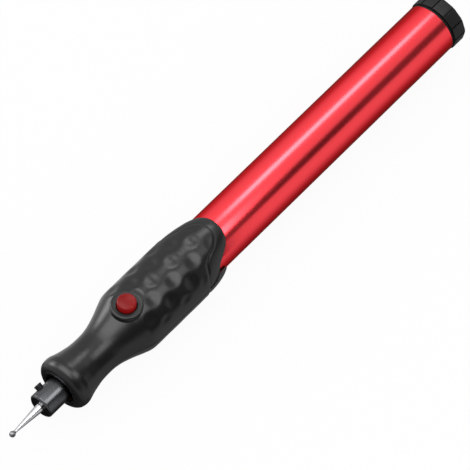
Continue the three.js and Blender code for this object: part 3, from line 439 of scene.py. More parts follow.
class Bench:
    """Makes the nodes of one material or world."""

    MIX_SHARE, MIX_ONE, MIX_OTHER, MIX_RESULT = 0, 6, 7, 2

    def __init__(self, tree: bpy.types.NodeTree) -> None:
        """Clears the tree and works on it."""
        self.tree = tree
        tree.nodes.clear()

    def node(self, kind: str, settings: dict[str, object] | None = None,
             sockets: dict[str | int, object] | None = None) -> bpy.types.Node:
        """Makes one node.

        Args:
            kind: The node's type.
            settings: Its own settings. A ramp's stops are (place, colour) pairs.
            sockets: Values or links of its sockets, by name or number.

        Returns:
            The new node.
        """
        made = self.tree.nodes.new(kind)
        for key, value in (settings or {}).items():
            if key == "stops":
                stops = made.color_ramp.elements
                while len(stops) < len(value):
                    stops.new(1.0)
                for stop, (place, colour) in zip(stops, value):
                    stop.position = place
                    stop.color = colour
            else:
                setattr(made, key, value)
        for key, value in (sockets or {}).items():
            if isinstance(value, Number):
                self.tree.links.new(value.socket, made.inputs[key])
            elif isinstance(value, bpy.types.NodeSocket):
                self.tree.links.new(value, made.inputs[key])
            else:
                made.inputs[key].default_value = value
        return made

    def sum(self, operation: str, one: "Number | float", other: "Number | float") -> Number:
        """One Math node on two values."""
        made = self.node("ShaderNodeMath", {"operation": operation}, {0: one, 1: other})
        return Number(self, made.outputs[0])

    def place(self) -> bpy.types.NodeSocket:
        """The object's own coordinates."""
        return self.node("ShaderNodeTexCoord").outputs["Object"]

    def axes(self) -> list[Number]:
        """The object's own coordinates as three numbers.

        Returns:
            The numbers x, y and z, in millimetres from the pen's axis.
        """
        parts = self.node("ShaderNodeSeparateXYZ", None, {0: self.place()})
        x, y, z = (Number(self, parts.outputs[i]) / MM for i in range(3))
        return [x, y, z - AXIS_Z]

    def stretched(self, scales: Point) -> bpy.types.NodeSocket:
        """The object's own coordinates, each multiplied by a scale.

        Args:
            scales: The scales along X, Y and Z.

        Returns:
            The coordinates.
        """
        made = self.node(
            "ShaderNodeVectorMath", {"operation": "MULTIPLY"}, {0: self.place(), 1: scales})
        return made.outputs[0]

    def noise(self, grain: float, detail: float = 3.0, roughness: float = 0.55,
              stretch: Point = (1.0, 1.0, 1.0)) -> Number:
        """Noise from 0 to 1.

        Args:
            grain: The size of its blotches, in millimetres.
            detail: How many finer layers it has.
            roughness: How strong the finer layers are.
            stretch: How much finer it is along each axis.

        Returns:
            The noise.
        """
        scale = 1.0 / (grain * MM)
        made = self.node(
            "ShaderNodeTexNoise",
            {"noise_dimensions": "3D"},
            {"Vector": self.stretched(tuple(scale * s for s in stretch)), "Scale": 1.0,
             "Detail": detail, "Roughness": roughness})
        return Number(self, made.outputs["Fac"])

    def mix(self, share: "Number | float", one: object, other: object) -> bpy.types.NodeSocket:
        """Mixes two colours.

        Args:
            share: How much of the other there is, from 0 to 1.
            one: A colour, or the socket of one.
            other: The other colour, or its socket.

        Returns:
            The mixed colour.
        """
        made = self.node(
            "ShaderNodeMix", {"data_type": "RGBA"},
            {self.MIX_SHARE: share, self.MIX_ONE: one, self.MIX_OTHER: other})
        return made.outputs[self.MIX_RESULT]

    def bump(self, height: Number, depth: float) -> bpy.types.NodeSocket:
        """A normal raised by a height.

        Args:
            height: The height, from 0 to 1.
            depth: How far apart 0 and 1 lie, in millimetres.

        Returns:
            The normal.
        """
        made = self.node(
            "ShaderNodeBump", None, {"Strength": 1.0, "Distance": depth * MM, "Height": height})
        return made.outputs["Normal"]

    def surface(self, sockets: dict[str, object]) -> None:
        """Ends the material in one Principled shader with these sockets."""
        shader = self.node("ShaderNodeBsdfPrincipled", None, sockets)
        self.node("ShaderNodeOutputMaterial", None, {"Surface": shader.outputs[0]})

    def glow(self, colour: object) -> None:
        """Ends the material in plain light of a colour, or of the colour on a socket."""
        light = self.node("ShaderNodeEmission", None, {"Color": colour})
        self.node("ShaderNodeOutputMaterial", None, {"Surface": light.outputs[0]})


def tone(red: int, green: int, blue: int) -> Colour:
    """A colour from its screen values.

    Args:
        red: Its red, from 0 to 255.
        green: Its green, likewise.
        blue: Its blue, likewise.

    Returns:
        The colour as light.
    """
    def linear(value: int) -> float:
        """One screen value as light."""
        v = value / 255
        return v / 12.92 if v <= 0.04045 else ((v + 0.055) / 1.055) ** 2.4

    return (linear(red), linear(green), linear(blue), 1.0)


def grey(light: float) -> Colour:
    """A grey of this much light."""
    return (light, light, light, 1.0)


def scaled(colour: Colour, share: float) -> Colour:
    """The colour with its light multiplied by a share."""
    return (colour[0] * share, colour[1] * share, colour[2] * share, 1.0)


@dataclass(frozen=True)
class Finish:
    """What a piece is made of. Each kind says how it is dressed."""

    name: str

    def material(self) -> bpy.types.Material:
        """The finish's material, made once and shared.

        Returns:
            The material.
        """
        known = bpy.data.materials.get(self.name + "_look")
        if known is not None:
            return known
        made = bpy.data.materials.new(self.name + "_look")
        made.use_nodes = True
        self.dress(Bench(made.node_tree))
        return made

    def dress(self, bench: Bench) -> None:
        """Adds the finish's nodes."""
        raise NotImplementedError


@dataclass(frozen=True)
class MouldedPlastic(Finish):
    """Plastic with a fine moulded grain, a soft unevenness and rubbed places."""

    base: Colour
    roughness: float
    grain: float = 0.35
    depth: float = 0.012
    gloss: float = 0.5
    spread: float = 0.06

    def dress(self, bench: Bench) -> None:
        """Adds the grain, the unevenness and the rubbed places.

        Args:
            bench: The bench of the finish's material.
        """
        grain = bench.noise(self.grain, detail=4.0, roughness=0.6)
        cloud = bench.noise(grain=7.0)
        rub = bench.noise(grain=1.6, detail=5.0, roughness=0.7, stretch=(0.35, 1.0, 1.0))
        rubbed = rub.between(0.6, 0.85) * 0.3
        colour = bench.mix(cloud, scaled(self.base, 0.85), scaled(self.base, 1.2))
        colour = bench.mix(rubbed, colour, scaled(self.base, 1.7))
        roughness = self.roughness + (cloud - 0.5) * self.spread + (grain - 0.5) * self.spread
        bench.surface({
            "Base Color": colour, "Roughness": roughness, "Specular IOR Level": self.gloss,
            "Normal": bench.bump(grain, self.depth)})


@dataclass(frozen=True)
class AnodisedAluminium(Finish):
    """Drawn aluminium tube under a clear dyed layer, with faint lines along it."""

    base: Colour
    edge: Colour
    roughness: float
    line_depth: float = 0.0015
    sealing_coat: float = 0.12
    coat_roughness: float = 0.12

    def dress(self, bench: Bench) -> None:
        """Adds the drawn lines, the dye's unevenness and the fine scuffs.

        Args:
            bench: The bench of the finish's material.
        """
        lines = bench.noise(grain=0.09, detail=4.0, roughness=0.6, stretch=(0.01, 1.0, 1.0))
        dye = bench.noise(grain=11.0, detail=2.0, roughness=0.5, stretch=(0.4, 1.0, 1.0))
        scuff = bench.noise(grain=0.7, detail=6.0, roughness=0.7, stretch=(0.15, 1.0, 1.0))
        dark_lines = lines.between(0.35, 0.7) * 0.08
        scuffed = scuff.between(0.62, 0.8) * 0.05
        colour = bench.mix(dye, scaled(self.base, 0.95), scaled(self.base, 1.05))
        colour = bench.mix(dark_lines, colour, scaled(self.base, 0.75))
        bench.surface({
            "Base Color": colour, "Metallic": 1.0,
            "Roughness": self.roughness + (lines - 0.5) * 0.05 + scuffed,
            "Specular Tint": self.edge, "Coat Weight": self.sealing_coat,
            "Coat Roughness": self.coat_roughness, "Normal": bench.bump(lines, self.line_depth)})


@dataclass(frozen=True)
class TurnedMetal(Finish):
    """Metal turned on a lathe, with fine rings about the pen's axis."""

    base: Colour
    roughness: float
    pitch: float = 0.08
    depth: float = 0.002
    stain: float = 0.25

    def dress(self, bench: Bench) -> None:
        """Adds the tool's rings and the uneven shine.

        Args:
            bench: The bench of the finish's material.
        """
        rings = bench.noise(self.pitch, roughness=0.6, stretch=(1.0, 0.02, 0.02))
        cloud = bench.noise(grain=1.3, detail=4.0, roughness=0.6)
        stained = cloud.between(0.4, 0.75) * self.stain
        colour = bench.mix(stained, self.base, scaled(self.base, 0.6))
        roughness = self.roughness + (cloud - 0.5) * 0.1 + (rings - 0.5) * 0.08
        bench.surface({
            "Base Color": colour, "Metallic": 1.0, "Roughness": roughness,
            "Normal": bench.bump(rings, self.depth)})


@dataclass(frozen=True)
class GroundSteel(Finish):
    """Polished steel that a grinder has left darker on the cutting ball."""

    base: Colour
    ball: Colour
    roughness: float
    ball_rear_x: float
    fade_start: float = -0.1
    fade_end: float = 0.4
    ball_roughness: float = 0.14
    mark_depth: float = 0.001

    def dress(self, bench: Bench) -> None:
        """Adds the ground ball, the fine marks across the shank and the uneven shine.

        Args:
            bench: The bench of the finish's material.
        """
        marks = bench.noise(grain=0.07, roughness=0.6, stretch=(1.0, 0.05, 0.05))
        cloud = bench.noise(grain=1.1, detail=4.0, roughness=0.6)
        from_ball = bench.axes()[0] - self.ball_rear_x
        on_ball = 1 - from_ball.between(self.fade_start, self.fade_end)
        stained = cloud.between(0.4, 0.75) * 0.15
        colour = bench.mix(stained, self.base, scaled(self.base, 0.7))
        colour = bench.mix(on_ball, colour, self.ball)
        roughness = self.roughness + (marks - 0.5) * 0.06 + on_ball * self.ball_roughness
        bench.surface({
            "Base Color": colour, "Metallic": 1.0, "Roughness": roughness,
            "Normal": bench.bump(marks, self.mark_depth)})


@dataclass(frozen=True)
class SheetMetal(Finish):
    """Rolled sheet or drawn wire, with streaks and a little tarnish."""

    base: Colour
    tarnish: Colour
    roughness: float
    streak_depth: float = 0.002

    def dress(self, bench: Bench) -> None:
        """Adds the rolling streaks and the tarnish.

        Args:
            bench: The bench of the finish's material.
        """
        streaks = bench.noise(grain=0.12, detail=4.0, roughness=0.6, stretch=(0.08, 1.0, 1.0))
        cloud = bench.noise(grain=1.8, detail=5.0, roughness=0.65)
        tarnished = cloud.between(0.45, 0.8) * 0.6
        colour = bench.mix(tarnished, self.base, self.tarnish)
        roughness = self.roughness + (streaks - 0.5) * 0.14 + (cloud - 0.5) * 0.1
        bench.surface({
            "Base Color": colour, "Metallic": 1.0, "Roughness": roughness,
            "Normal": bench.bump(streaks, self.streak_depth)})


@dataclass(frozen=True)
class SinteredMetal(Finish):
    """Pressed metal powder, full of small pores."""

    base: Colour
    roughness: float
    metallic: float = 0.9
    pore_depth: float = 0.01

    def dress(self, bench: Bench) -> None:
        """Adds the pores.

        Args:
            bench: The bench of the finish's material.
        """
        pores = bench.noise(grain=0.14, detail=5.0, roughness=0.75).between(0.58, 0.7)
        bench.surface({
            "Base Color": bench.mix(pores, self.base, scaled(self.base, 0.35)),
            "Metallic": self.metallic, "Roughness": self.roughness + pores * 0.2,
            "Normal": bench.bump(1 - pores, self.pore_depth)})


@dataclass(frozen=True)
class LaminatedIron(Finish):
    """A stack of thin iron sheets, seen as fine lines across the pen."""

    base: Colour
    sheet: float = 0.5
    gap_depth: float = 0.03
    metallic: float = 0.8
    roughness: float = 0.5

    def dress(self, bench: Bench) -> None:
        """Adds the gaps between sheets and the blotchy varnish.

        Args:
            bench: The bench of the finish's material.
        """
        from_gap = bench.sum("PINGPONG", bench.axes()[0] / self.sheet, 0.5)
        gap = 1 - from_gap.between(0.0, 0.12)
        cloud = bench.noise(grain=0.9, detail=4.0, roughness=0.6)
        colour = bench.mix(cloud, scaled(self.base, 0.7), scaled(self.base, 1.3))
        bench.surface({
            "Base Color": bench.mix(gap, colour, scaled(self.base, 0.25)),
            "Metallic": self.metallic, "Roughness": self.roughness + cloud * 0.15,
            "Normal": bench.bump(1 - gap, self.gap_depth)})


@dataclass(frozen=True)
class Rubber(Finish):
    """Matt rubber with a fine bloom."""

    base: Colour
    roughness: float = 0.62
    gloss: float = 0.15
    skin_depth: float = 0.012

    def dress(self, bench: Bench) -> None:
        """Adds the skin and the bloom.

        Args:
            bench: The bench of the finish's material.
        """
        skin = bench.noise(grain=0.2, detail=5.0, roughness=0.7)
        bloom = bench.noise(grain=2.5, detail=4.0, roughness=0.6)
        bloomed = bloom.between(0.45, 0.8) * 0.4
        bench.surface({
            "Base Color": bench.mix(bloomed, self.base, scaled(self.base, 1.8)),
            "Roughness": self.roughness + bloom * 0.15, "Specular IOR Level": self.gloss,
            "Normal": bench.bump(skin, self.skin_depth)})


@dataclass(frozen=True)
class CellWrap(Finish):
    """Two cells in line: a printed film round each, with bare steel at its ends."""

    film: Colour
    band: Colour
    steel: Colour
    radius: float
    front_x: float = -17.1
    pitch: float = 44.6
    roughness: float = 0.28
    crinkle_depth: float = 0.006

    def dress(self, bench: Bench) -> None:
        """Adds the film, the bands at its ends, its crinkles and the bare steel.

        Args:
            bench: The bench of the finish's material.
        """
        x, y, z = bench.axes()
        from_axis = (y * y + z * z) / self.radius**2
        bare = 1 - from_axis.between(0.74, 0.8)
        crinkle = bench.noise(grain=0.5, detail=5.0, roughness=0.65, stretch=(0.5, 1.0, 1.0))
        from_end = bench.sum("PINGPONG", (x - self.front_x) / self.pitch, 0.5)
        band = 1 - from_end.between(0.16, 0.17)
        film = bench.mix(band, self.film, self.band)
        film = bench.mix(crinkle * 0.3, film, scaled(self.film, 0.5))
        bench.surface({
            "Base Color": bench.mix(bare, film, self.steel),
            "Metallic": bare.at_least(band * 0.6), "Roughness": self.roughness + crinkle * 0.15,
            "Normal": bench.bump(crinkle, self.crinkle_depth)})


class Stuff(Enum):
    """The finishes of the pen, each with the record's material slot it belongs to."""

    GRIP = "grip_plastic"
    TUBE = "anodised_tube"
    BLACK = "black_plastic"
    RED = "red_plastic"
    DARK_STEEL = "dark_steel"
    BLACK_STEEL = "black_steel"
    BRIGHT_STEEL = "bright_steel"
    BRONZE = "bush_bronze"
    BRASS = "contact_brass"
    COPPER = "copper"
    IRON = "dark_iron"
    WHITE = "white_plastic"
    RUBBER = "black_rubber"
    CELL = "cell_jacket"
    RED_WIRE = "red_insulation"
    BLACK_WIRE = "black_insulation"


BIT_STEEL = GroundSteel(
    "bit_steel", tone(184, 184, 186), tone(112, 112, 114), roughness=0.22, ball_rear_x=-81.1)
FINISHES: dict[Stuff, Finish] = {
    Stuff.GRIP: MouldedPlastic(
        "grip_plastic", tone(17, 17, 18), roughness=0.32, grain=0.3, depth=0.006, gloss=0.3),
    Stuff.TUBE: AnodisedAluminium(
        "anodised_tube", (0.86, 0.052, 0.066, 1.0), (0.45, 0.0, 0.0, 1.0), roughness=0.24),
    Stuff.BLACK: MouldedPlastic(
        "black_plastic", tone(15, 17, 15), roughness=0.5, grain=0.25, depth=0.015, gloss=0.2,
        spread=0.1),
    Stuff.RED: MouldedPlastic(
        "red_plastic", tone(134, 8, 8), roughness=0.36, grain=0.3, depth=0.006, gloss=0.12),
    Stuff.DARK_STEEL: TurnedMetal(
        "dark_steel", tone(78, 79, 81), roughness=0.28, pitch=0.1, depth=0.003),
    Stuff.BLACK_STEEL: TurnedMetal(
        "black_steel", tone(40, 40, 41), roughness=0.42, pitch=0.2, depth=0.003),
    Stuff.BRIGHT_STEEL: TurnedMetal(
        "bright_steel", tone(214, 214, 216), roughness=0.16, pitch=0.06, depth=0.001, stain=0.1),
    Stuff.BRONZE: SinteredMetal("bush_bronze", tone(170, 136, 88), roughness=0.42),
    Stuff.BRASS: SheetMetal(
        "contact_brass", tone(214, 178, 98), tone(150, 112, 58), roughness=0.3),
    Stuff.COPPER: SheetMetal("copper", tone(196, 112, 64), tone(130, 66, 38), roughness=0.32),
    Stuff.IRON: LaminatedIron("dark_iron", tone(84, 84, 88)),
    Stuff.WHITE: MouldedPlastic(
        "white_plastic", tone(222, 219, 210), roughness=0.45, grain=0.3, depth=0.006),
    # Near-black: the rubber's own black, made darker still as painted shade so that the cap's seal,
    # in the gap between tube and cap, looks shadowed.
    Stuff.RUBBER: Rubber("black_rubber", tone(12, 12, 12)),
    Stuff.CELL: CellWrap(
        "cell_jacket", tone(44, 72, 54), tone(196, 178, 132), tone(200, 200, 202), radius=5.25),
    Stuff.RED_WIRE: MouldedPlastic(
        "red_insulation", tone(176, 36, 30), roughness=0.4, grain=0.4, depth=0.004),
    Stuff.BLACK_WIRE: MouldedPlastic(
        "black_insulation", tone(28, 28, 28), roughness=0.42, grain=0.4, depth=0.004),
}


@dataclass(frozen=True)
class Pen:
    """Sizes and places that several sub-assemblies share."""

    tip_x: float = -82.7
    chuck_front_x: float = -71.9
    nose_x: float = -65.0
    grip_rear_x: float = -7.3
    plug_front_x: float = 72.3
    tube_rear_x: float = 77.6
    rear_x: float = 82.7
    tube_radius: float = 7.2
    tube_inner: float = 6.5
    grip_bore: float = 7.4
    grip_radius: float = 9.12
    button_x: float = -40.3
    boss_top: float = 8.98
    button_top: float = 10.88
    flange_base: float = 7.0
    switch_top: float = 5.0
    floor_z: float = -9.12


def fit(made: bpy.types.Object, body: str, stuff: Stuff, node: str) -> None:
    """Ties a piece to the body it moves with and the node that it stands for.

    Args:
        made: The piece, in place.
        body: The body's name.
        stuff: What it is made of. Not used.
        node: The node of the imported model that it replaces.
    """
    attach(made, body)
    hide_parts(node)
    log.info("%s rides on %s", made.name, body)


def dressed(shape: Shape, node: str, body: str, stuff: Stuff,
            crease: float = 38.0) -> bpy.types.Object:
    """Makes a shape into the piece that stands for a node, and fits it.

    Args:
        shape: The piece's shape.
        node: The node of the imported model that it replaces.
        body: The name of the body it moves with.
        stuff: What it is made of.
        crease: Edges that turn by more than this many degrees stay sharp.

    Returns:
        The piece.
    """
    made = shape.piece(node + "_look", FINISHES[stuff], crease)
    fit(made, body, stuff, node)
    return made


class Half(Enum):
    """The halves of the grip, by the angle at the middle of each."""

    TOP = 0.0
    BOTTOM = math.pi


@dataclass
class Grip:
    """The two moulded halves round the motor, with the button's boss on the upper one."""

    pen: Pen
    columns: int = 96
    front_rows: int = 34
    waist_rows: int = 84
    rear_rows: int = 112
    front_length: float = 3.6
    front_crowding: float = 1.6
    waist_share: float = 0.48
    rear_crowding: float = 1.25
    retreat_top: float = 6.8
    retreat_bottom: float = 4.3
    dome_length: float = 7.0
    dome_power: float = 0.75
    rim_edge: float = 0.2
    rim_lip: float = 0.05
    rim_lip_length: float = 0.08
    dimple_depth: float = 0.32
    dimple_radius: float = 2.55
    dimple_pitch: float = 7.4
    dimple_front: float = 26.6
    dimple_rows: int = 16
    dimple_fade: float = 2.4
    dimple_rear_gap: float = 0.6
    dimple_side_start: float = 0.62
    dimple_side_end: float = 0.82
    groove_depth: float = 0.2
    groove_width: float = 0.34
    groove_probe: float = 0.02
    band_step: float = 0.1
    seam_depth: float = 0.16
    seam_width: float = 0.26
    seam_spacing: float = 1.6
    boss_radius: float = 4.17
    boss_bore: float = 2.55
    boss_edge: float = 0.5
    boss_edge_steps: int = 7
    boss_pocket: float = 3.5
    boss_ledge: float = 0.55
    boss_skirt: float = 5.3
    boss_overlap: float = 0.25
    boss_sides: int = 96
    dish_depth: float = 0.1
    dish_rise: float = 0.9
    dish_flat: float = 0.3
    dish_length: float = 2.0
    dish_reach: float = 3.0
    wall: float = 1.55
    nose_hole: float = 4.4
    nose_clear: float = 0.2
    bush_front_x: float = -61.25
    bush_rear_x: float = -60.35
    bush_radius: float = 5.0
    neck_front_x: float = -57.4
    neck_radius: float = 2.3
    neck_slant: float = 0.05
    chamber_start: float = 0.27
    chamber_end: float = 0.42
    rib_front_x: float = -20.2
    rib_rear_x: float = -19.6
    rib_radius: float = 6.6
    bore_end_x: float = -14.4
    hollow_step: float = 1.0

    OUTLINE = (
        (0, .565), (.004, .65), (.012, .73), (.027, .79), (.046, .808), (.06, .801), (.081, .763),
        (.108, .715), (.137, .678), (.163, .65), (.19, .636), (.219, .632), (.245, .637),
        (.273, .659), (.301, .697), (.327, .745), (.356, .806), (.383, .872), (.411, .938),
        (.43, .976), (.45, .994), (.48, 1), (.72, 1), (.8, .996), (1, .99))
    RIM = (
        (0, 0), (.17, .03), (.33, .11), (.49, .28), (.58, .48), (.67, .69), (.76, .87), (.89, .97),
        (1, 1))
    ARCH = (
        (0, 2.7), (.1, 2.8), (.2, 3.5), (.33, 5.8), (.42, 8.7), (.5, 10.2), (.64, 11.0),
        (.8, 11.5), (1, 11.7))
    SEAM_PLACES = (0.0, 0.05, 0.11, 0.18, 0.26)
    NOSE_ROUND = ((0.12, 0.0), (0.03, 0.06), (0.0, 0.16))
    BORE_ROUND = ((0.2, 0.0), (0.07, 0.05), (0.01, 0.17), (0.0, 0.24))

    @property
    def length(self) -> float:
        """The grip's length from its nose to the end of its tongue."""
        return self.pen.grip_rear_x - self.pen.nose_x

    def quarter(self, angle: float) -> float:
        """The share of a quarter turn from the button's line, or from the line opposite."""
        folded = abs(math.atan2(math.sin(angle), math.cos(angle)))
        return min(folded, math.pi - folded) / (math.pi / 2)

    def rim_x(self, retreat: float, angle: float) -> float:
        """Where the rim lies at an angle."""
        return self.pen.grip_rear_x - retreat * smooth(self.RIM, self.quarter(angle))

    def arch_x(self, angle: float) -> float:
        """Where the groove inside the rim lies at an angle."""
        return self.pen.grip_rear_x - smooth(self.ARCH, self.quarter(angle))

    def dimple(self, x: float, angle: float) -> float:
        """How deep the hammered pattern is at a place.

        Args:
            x: The place along the pen.
            angle: The angle about its axis.

        Returns:
            A share of the pattern's depth.
        """
        row_angle = math.tau / self.dimple_rows
        nearest = round(angle / row_angle)
        front = self.pen.nose_x + self.dimple_front
        rear = self.arch_x(angle) - self.dimple_rear_gap
        deepest = 0.0
        for row in range(nearest - 1, nearest + 2):
            across = (angle - row * row_angle) * self.pen.grip_radius
            start = front + (0.0 if row % 2 == 0 else self.dimple_pitch / 2)
            along = x - start - round((x - start) / self.dimple_pitch) * self.dimple_pitch
            distance = math.hypot(across, along) / self.dimple_radius
            if distance < 1:
                deepest = max(deepest, math.cos(distance * math.pi / 2) ** 2)
        faded = limited((x - front + self.dimple_pitch / 2) / self.dimple_fade)
        beside = eased((self.quarter(angle) - self.dimple_side_start)
                       / (self.dimple_side_end - self.dimple_side_start))
        return deepest * faded * limited((rear - x) / self.dimple_fade) * (1 - beside)

    def groove(self, x: float, angle: float) -> float:
        """How far the groove and the band behind it lie under the grip's surface.

        Args:
            x: The place along the pen.
            angle: The angle about its axis.

        Returns:
            The depth there.
        """
        ahead, behind = angle + self.groove_probe, angle - self.groove_probe
        run = 2 * self.groove_probe * self.pen.grip_radius
        lean = (self.arch_x(ahead) - self.arch_x(behind)) / run
        away = (x - self.arch_x(angle)) / math.hypot(1.0, lean)
        cut = math.exp(-((away / self.groove_width) ** 2))
        return self.groove_depth * cut + self.band_step * eased(away / self.groove_width)

    def outer(self, retreat: float, x: float, angle: float) -> float:
        """The outer radius at a place, with its pattern, groove, dome and dish.

        Args:
            retreat: How far the half's rim steps back at its sides.
            x: The place along the pen.
            angle: The angle about its axis.

        Returns:
            The radius there.
        """
        base = self.pen.grip_radius * smooth(self.OUTLINE, (x - self.pen.nose_x) / self.length)
        if x > self.pen.button_x - self.boss_radius:
            base -= self.dimple_depth * self.dimple(x, angle)
            base -= self.groove(x, angle)
        edge = self.pen.grip_bore + self.rim_edge
        to_rim = limited((self.rim_x(retreat, angle) - x) / self.dome_length)
        domed = edge + (base - edge) * (1 - (1 - to_rim) ** 2) ** self.dome_power
        return self.dished(x, domed, angle)

    def dished(self, x: float, radius: float, angle: float) -> float:
        """A radius, kept just under the boss's top near the boss.

        Args:
            x: The place along the pen.
            radius: The radius without the boss.
            angle: The angle about the pen's axis.

        Returns:
            The radius with it.
        """
        height = radius * math.cos(angle)
        away = math.hypot(x - self.pen.button_x, radius * math.sin(angle))
        if height <= 0 or away > self.boss_radius + self.dish_reach:
            return radius
        risen = max(0.0, (away - self.boss_radius - self.dish_flat) / self.dish_length) ** 2
        top = self.pen.boss_top - self.dish_depth + self.dish_rise * risen
        return radius * min(1.0, top / height)

    def hollow(self) -> list[tuple[float, float]]:
        """The profile of the hollow that holds the bush, the spindle, the motor and the tube.

        Returns:
            Places and radii, from the rear to the nose.
        """
        nose, bore = self.pen.nose_x, self.pen.grip_bore
        chamber = [
            (nose + self.length * share, self.pen.grip_radius * radius - self.wall)
            for share, radius in self.OUTLINE if self.chamber_start < share < self.chamber_end]
        corners = [
            (nose, self.nose_hole), (self.bush_front_x, self.nose_hole),
            (self.bush_front_x, self.bush_radius), (self.bush_rear_x, self.bush_radius),
            (self.bush_rear_x, self.nose_hole), (self.neck_front_x, self.nose_hole),
            (self.neck_front_x, self.neck_radius),
            (chamber[0][0] - self.neck_slant, self.neck_radius), *chamber,
            (chamber[-1][0] + self.wall, bore), (self.rib_front_x, bore),
            (self.rib_front_x, self.rib_radius), (self.rib_rear_x, self.rib_radius),
            (self.rib_rear_x, bore), (self.bore_end_x, bore)]
        fine = [corners[0]]
        for one, other in zip(corners, corners[1:]):
            count = max(1, round(abs(other[0] - one[0]) / self.hollow_step))
            fine += [
                (blend(one[0], other[0], k / count), blend(one[1], other[1], k / count))
                for k in range(1, count + 1)]
        return fine[::-1]

    def angles(self, half: Half) -> list[float]:
        """The angles of a half's columns, closer together at the seams.

        Args:
            half: The half.

        Returns:
            The angles, from one seam to the other.
        """
        quarter = math.pi / 2
        near = [place / self.pen.grip_radius for place in self.SEAM_PLACES]
        first = near[-1] * self.seam_spacing
        inner = steps(-quarter + first, quarter - first, self.columns)
        turned = [-quarter + n for n in near] + inner + [quarter - n for n in reversed(near)]
        return [half.value + a for a in turned]

    def seam(self, angle: float, radius: float, half: Half) -> float:
        """How far the surface falls away beside the seam."""
        away = (math.pi / 2 - abs(angle - half.value)) * radius
        return self.seam_depth * max(0.0, 1 - away / self.seam_width) ** 2

    def rows(self, half: Half, retreat: float) -> list[list[Point]]:
        """The rings of points of a half, from the nose round the rim and back to the nose.

        Args:
            half: The half.
            retreat: How far its rim steps back at its sides.

        Returns:
            The rings, each from one seam to the other.
        """
        angles = self.angles(half)
        nose, bore = self.pen.nose_x, self.pen.grip_bore
        front_end = nose + self.front_length
        waist_end = nose + self.length * self.waist_share
        places = [blend(nose, front_end, (k / self.front_rows) ** self.front_crowding)
                  for k in range(self.front_rows)]
        places += steps(front_end, waist_end, self.waist_rows)[:-1]

        def ring(place: Callable[[float], float]) -> list[Point]:
            """A ring on the outside.

            Args:
                place: Gives the place along the pen for an angle.

            Returns:
                Its points.
            """
            points = []
            for angle in angles:
                x = place(angle)
                radius = self.outer(retreat, x, angle)
                points.append(about_x(x, radius - self.seam(angle, radius, half), angle))
            return points

        made = [[about_x(nose + back, self.nose_hole + out, a) for a in angles]
                for back, out in self.NOSE_ROUND]
        for x in places:
            made.append(ring(lambda angle, x=x: x))
        for k in range(self.rear_rows + 1):
            share = 1 - (1 - k / self.rear_rows) ** self.rear_crowding
            made.append(ring(
                lambda angle, s=share: blend(waist_end, self.rim_x(retreat, angle), s)))
        for back, out in ((0.0, self.rim_lip), (self.rim_lip_length, 0.0)):
            made.append([about_x(self.rim_x(retreat, a) - back, bore + out, a) for a in angles])
        for x, radius in self.hollow():
            if x > nose + self.nose_clear:
                made.append([about_x(x, radius, a) for a in angles])
        return made

    def clear_of_boss(self, point: Point) -> bool:
        """Whether a point lies outside the boss's wall."""
        away = math.hypot(point[0] - self.pen.button_x, point[1])
        return point[2] < self.boss_skirt or away > self.boss_pocket + self.boss_overlap

    def boss(self, shape: Shape) -> None:
        """Adds the boss, its bore and the pocket under it.

        Args:
            shape: The shape that it joins.
        """
        top, bore = self.pen.boss_top, self.boss_bore
        ledge = self.pen.flange_base + self.boss_ledge
        edge = [
            (top - self.boss_edge * (1 - math.sin(a)),
             self.boss_radius - self.boss_edge * (1 - math.cos(a)))
            for a in steps(math.pi / 2, 0.0, self.boss_edge_steps)]
        profile = [
            (self.boss_skirt, self.boss_pocket), (ledge, self.boss_pocket), (ledge, bore),
            *((top - down, bore + out) for down, out in self.BORE_ROUND), *edge,
            (self.boss_skirt, self.boss_radius)]
        shape.turn(profile, about_z(self.pen.button_x), self.boss_sides)

    def build(self) -> None:
        """Makes both halves."""
        for half, name, retreat in (
            (Half.TOP, "grip_shell_top", self.retreat_top),
            (Half.BOTTOM, "grip_shell_bottom", self.retreat_bottom),
        ):
            shape = Shape()
            rows = [shape.row(points) for points in self.rows(half, retreat)]
            keep = self.clear_of_boss if half is Half.TOP else None
            shape.skin([*rows, rows[0]], closed=False, keep=keep)
            shape.faces.append(tuple(row[0] for row in rows))
            shape.faces.append(tuple(row[-1] for row in reversed(rows)))
            if half is Half.TOP:
                self.boss(shape)
            dressed(shape, name, "housing", Stuff.GRIP, crease=30.0)


@dataclass
class Thread:
    """A screw ridge wound right-handed about the pen's axis, and its room in tube and cap."""

    pitch: float = 1.25
    base: float = 0.5
    crest: float = 0.25
    root_depth: float = 0.15
    height: float = 0.38
    front_gap: float = 0.3
    rear_gap: float = 0.05
    steps_per_turn: int = 40
    run_out_steps: int = 6
    run_out_share: float = 0.15

    def add(self, shape: Shape, start: float, end: float, root: float, top: float) -> None:
        """Adds the ridge to a shape.

        Args:
            shape: The shape that it joins.
            start: Where it starts along the pen.
            end: Where it has to end.
            root: The radius of its foot.
            top: The radius of its crest.
        """
        turns = (end - start - self.base) / self.pitch
        count = math.ceil(turns * self.steps_per_turn)
        rows = []
        for i in range(count + 1):
            angle = -math.tau * i / self.steps_per_turn - math.pi / 2
            x = start + self.base / 2 + self.pitch * i / self.steps_per_turn
            grown = min(1.0, i / self.run_out_steps, (count - i) / self.run_out_steps)
            crest = blend(root, top, blend(self.run_out_share, 1.0, grown))
            rows.append(shape.row([
                about_x(x - self.base / 2, root, angle),
                about_x(x - self.crest / 2, crest, angle),
                about_x(x + self.crest / 2, crest, angle),
                about_x(x + self.base / 2, root, angle)]))
        shape.skin(rows)
        shape.faces.append(tuple(reversed(rows[0])))
        shape.faces.append(tuple(rows[-1]))


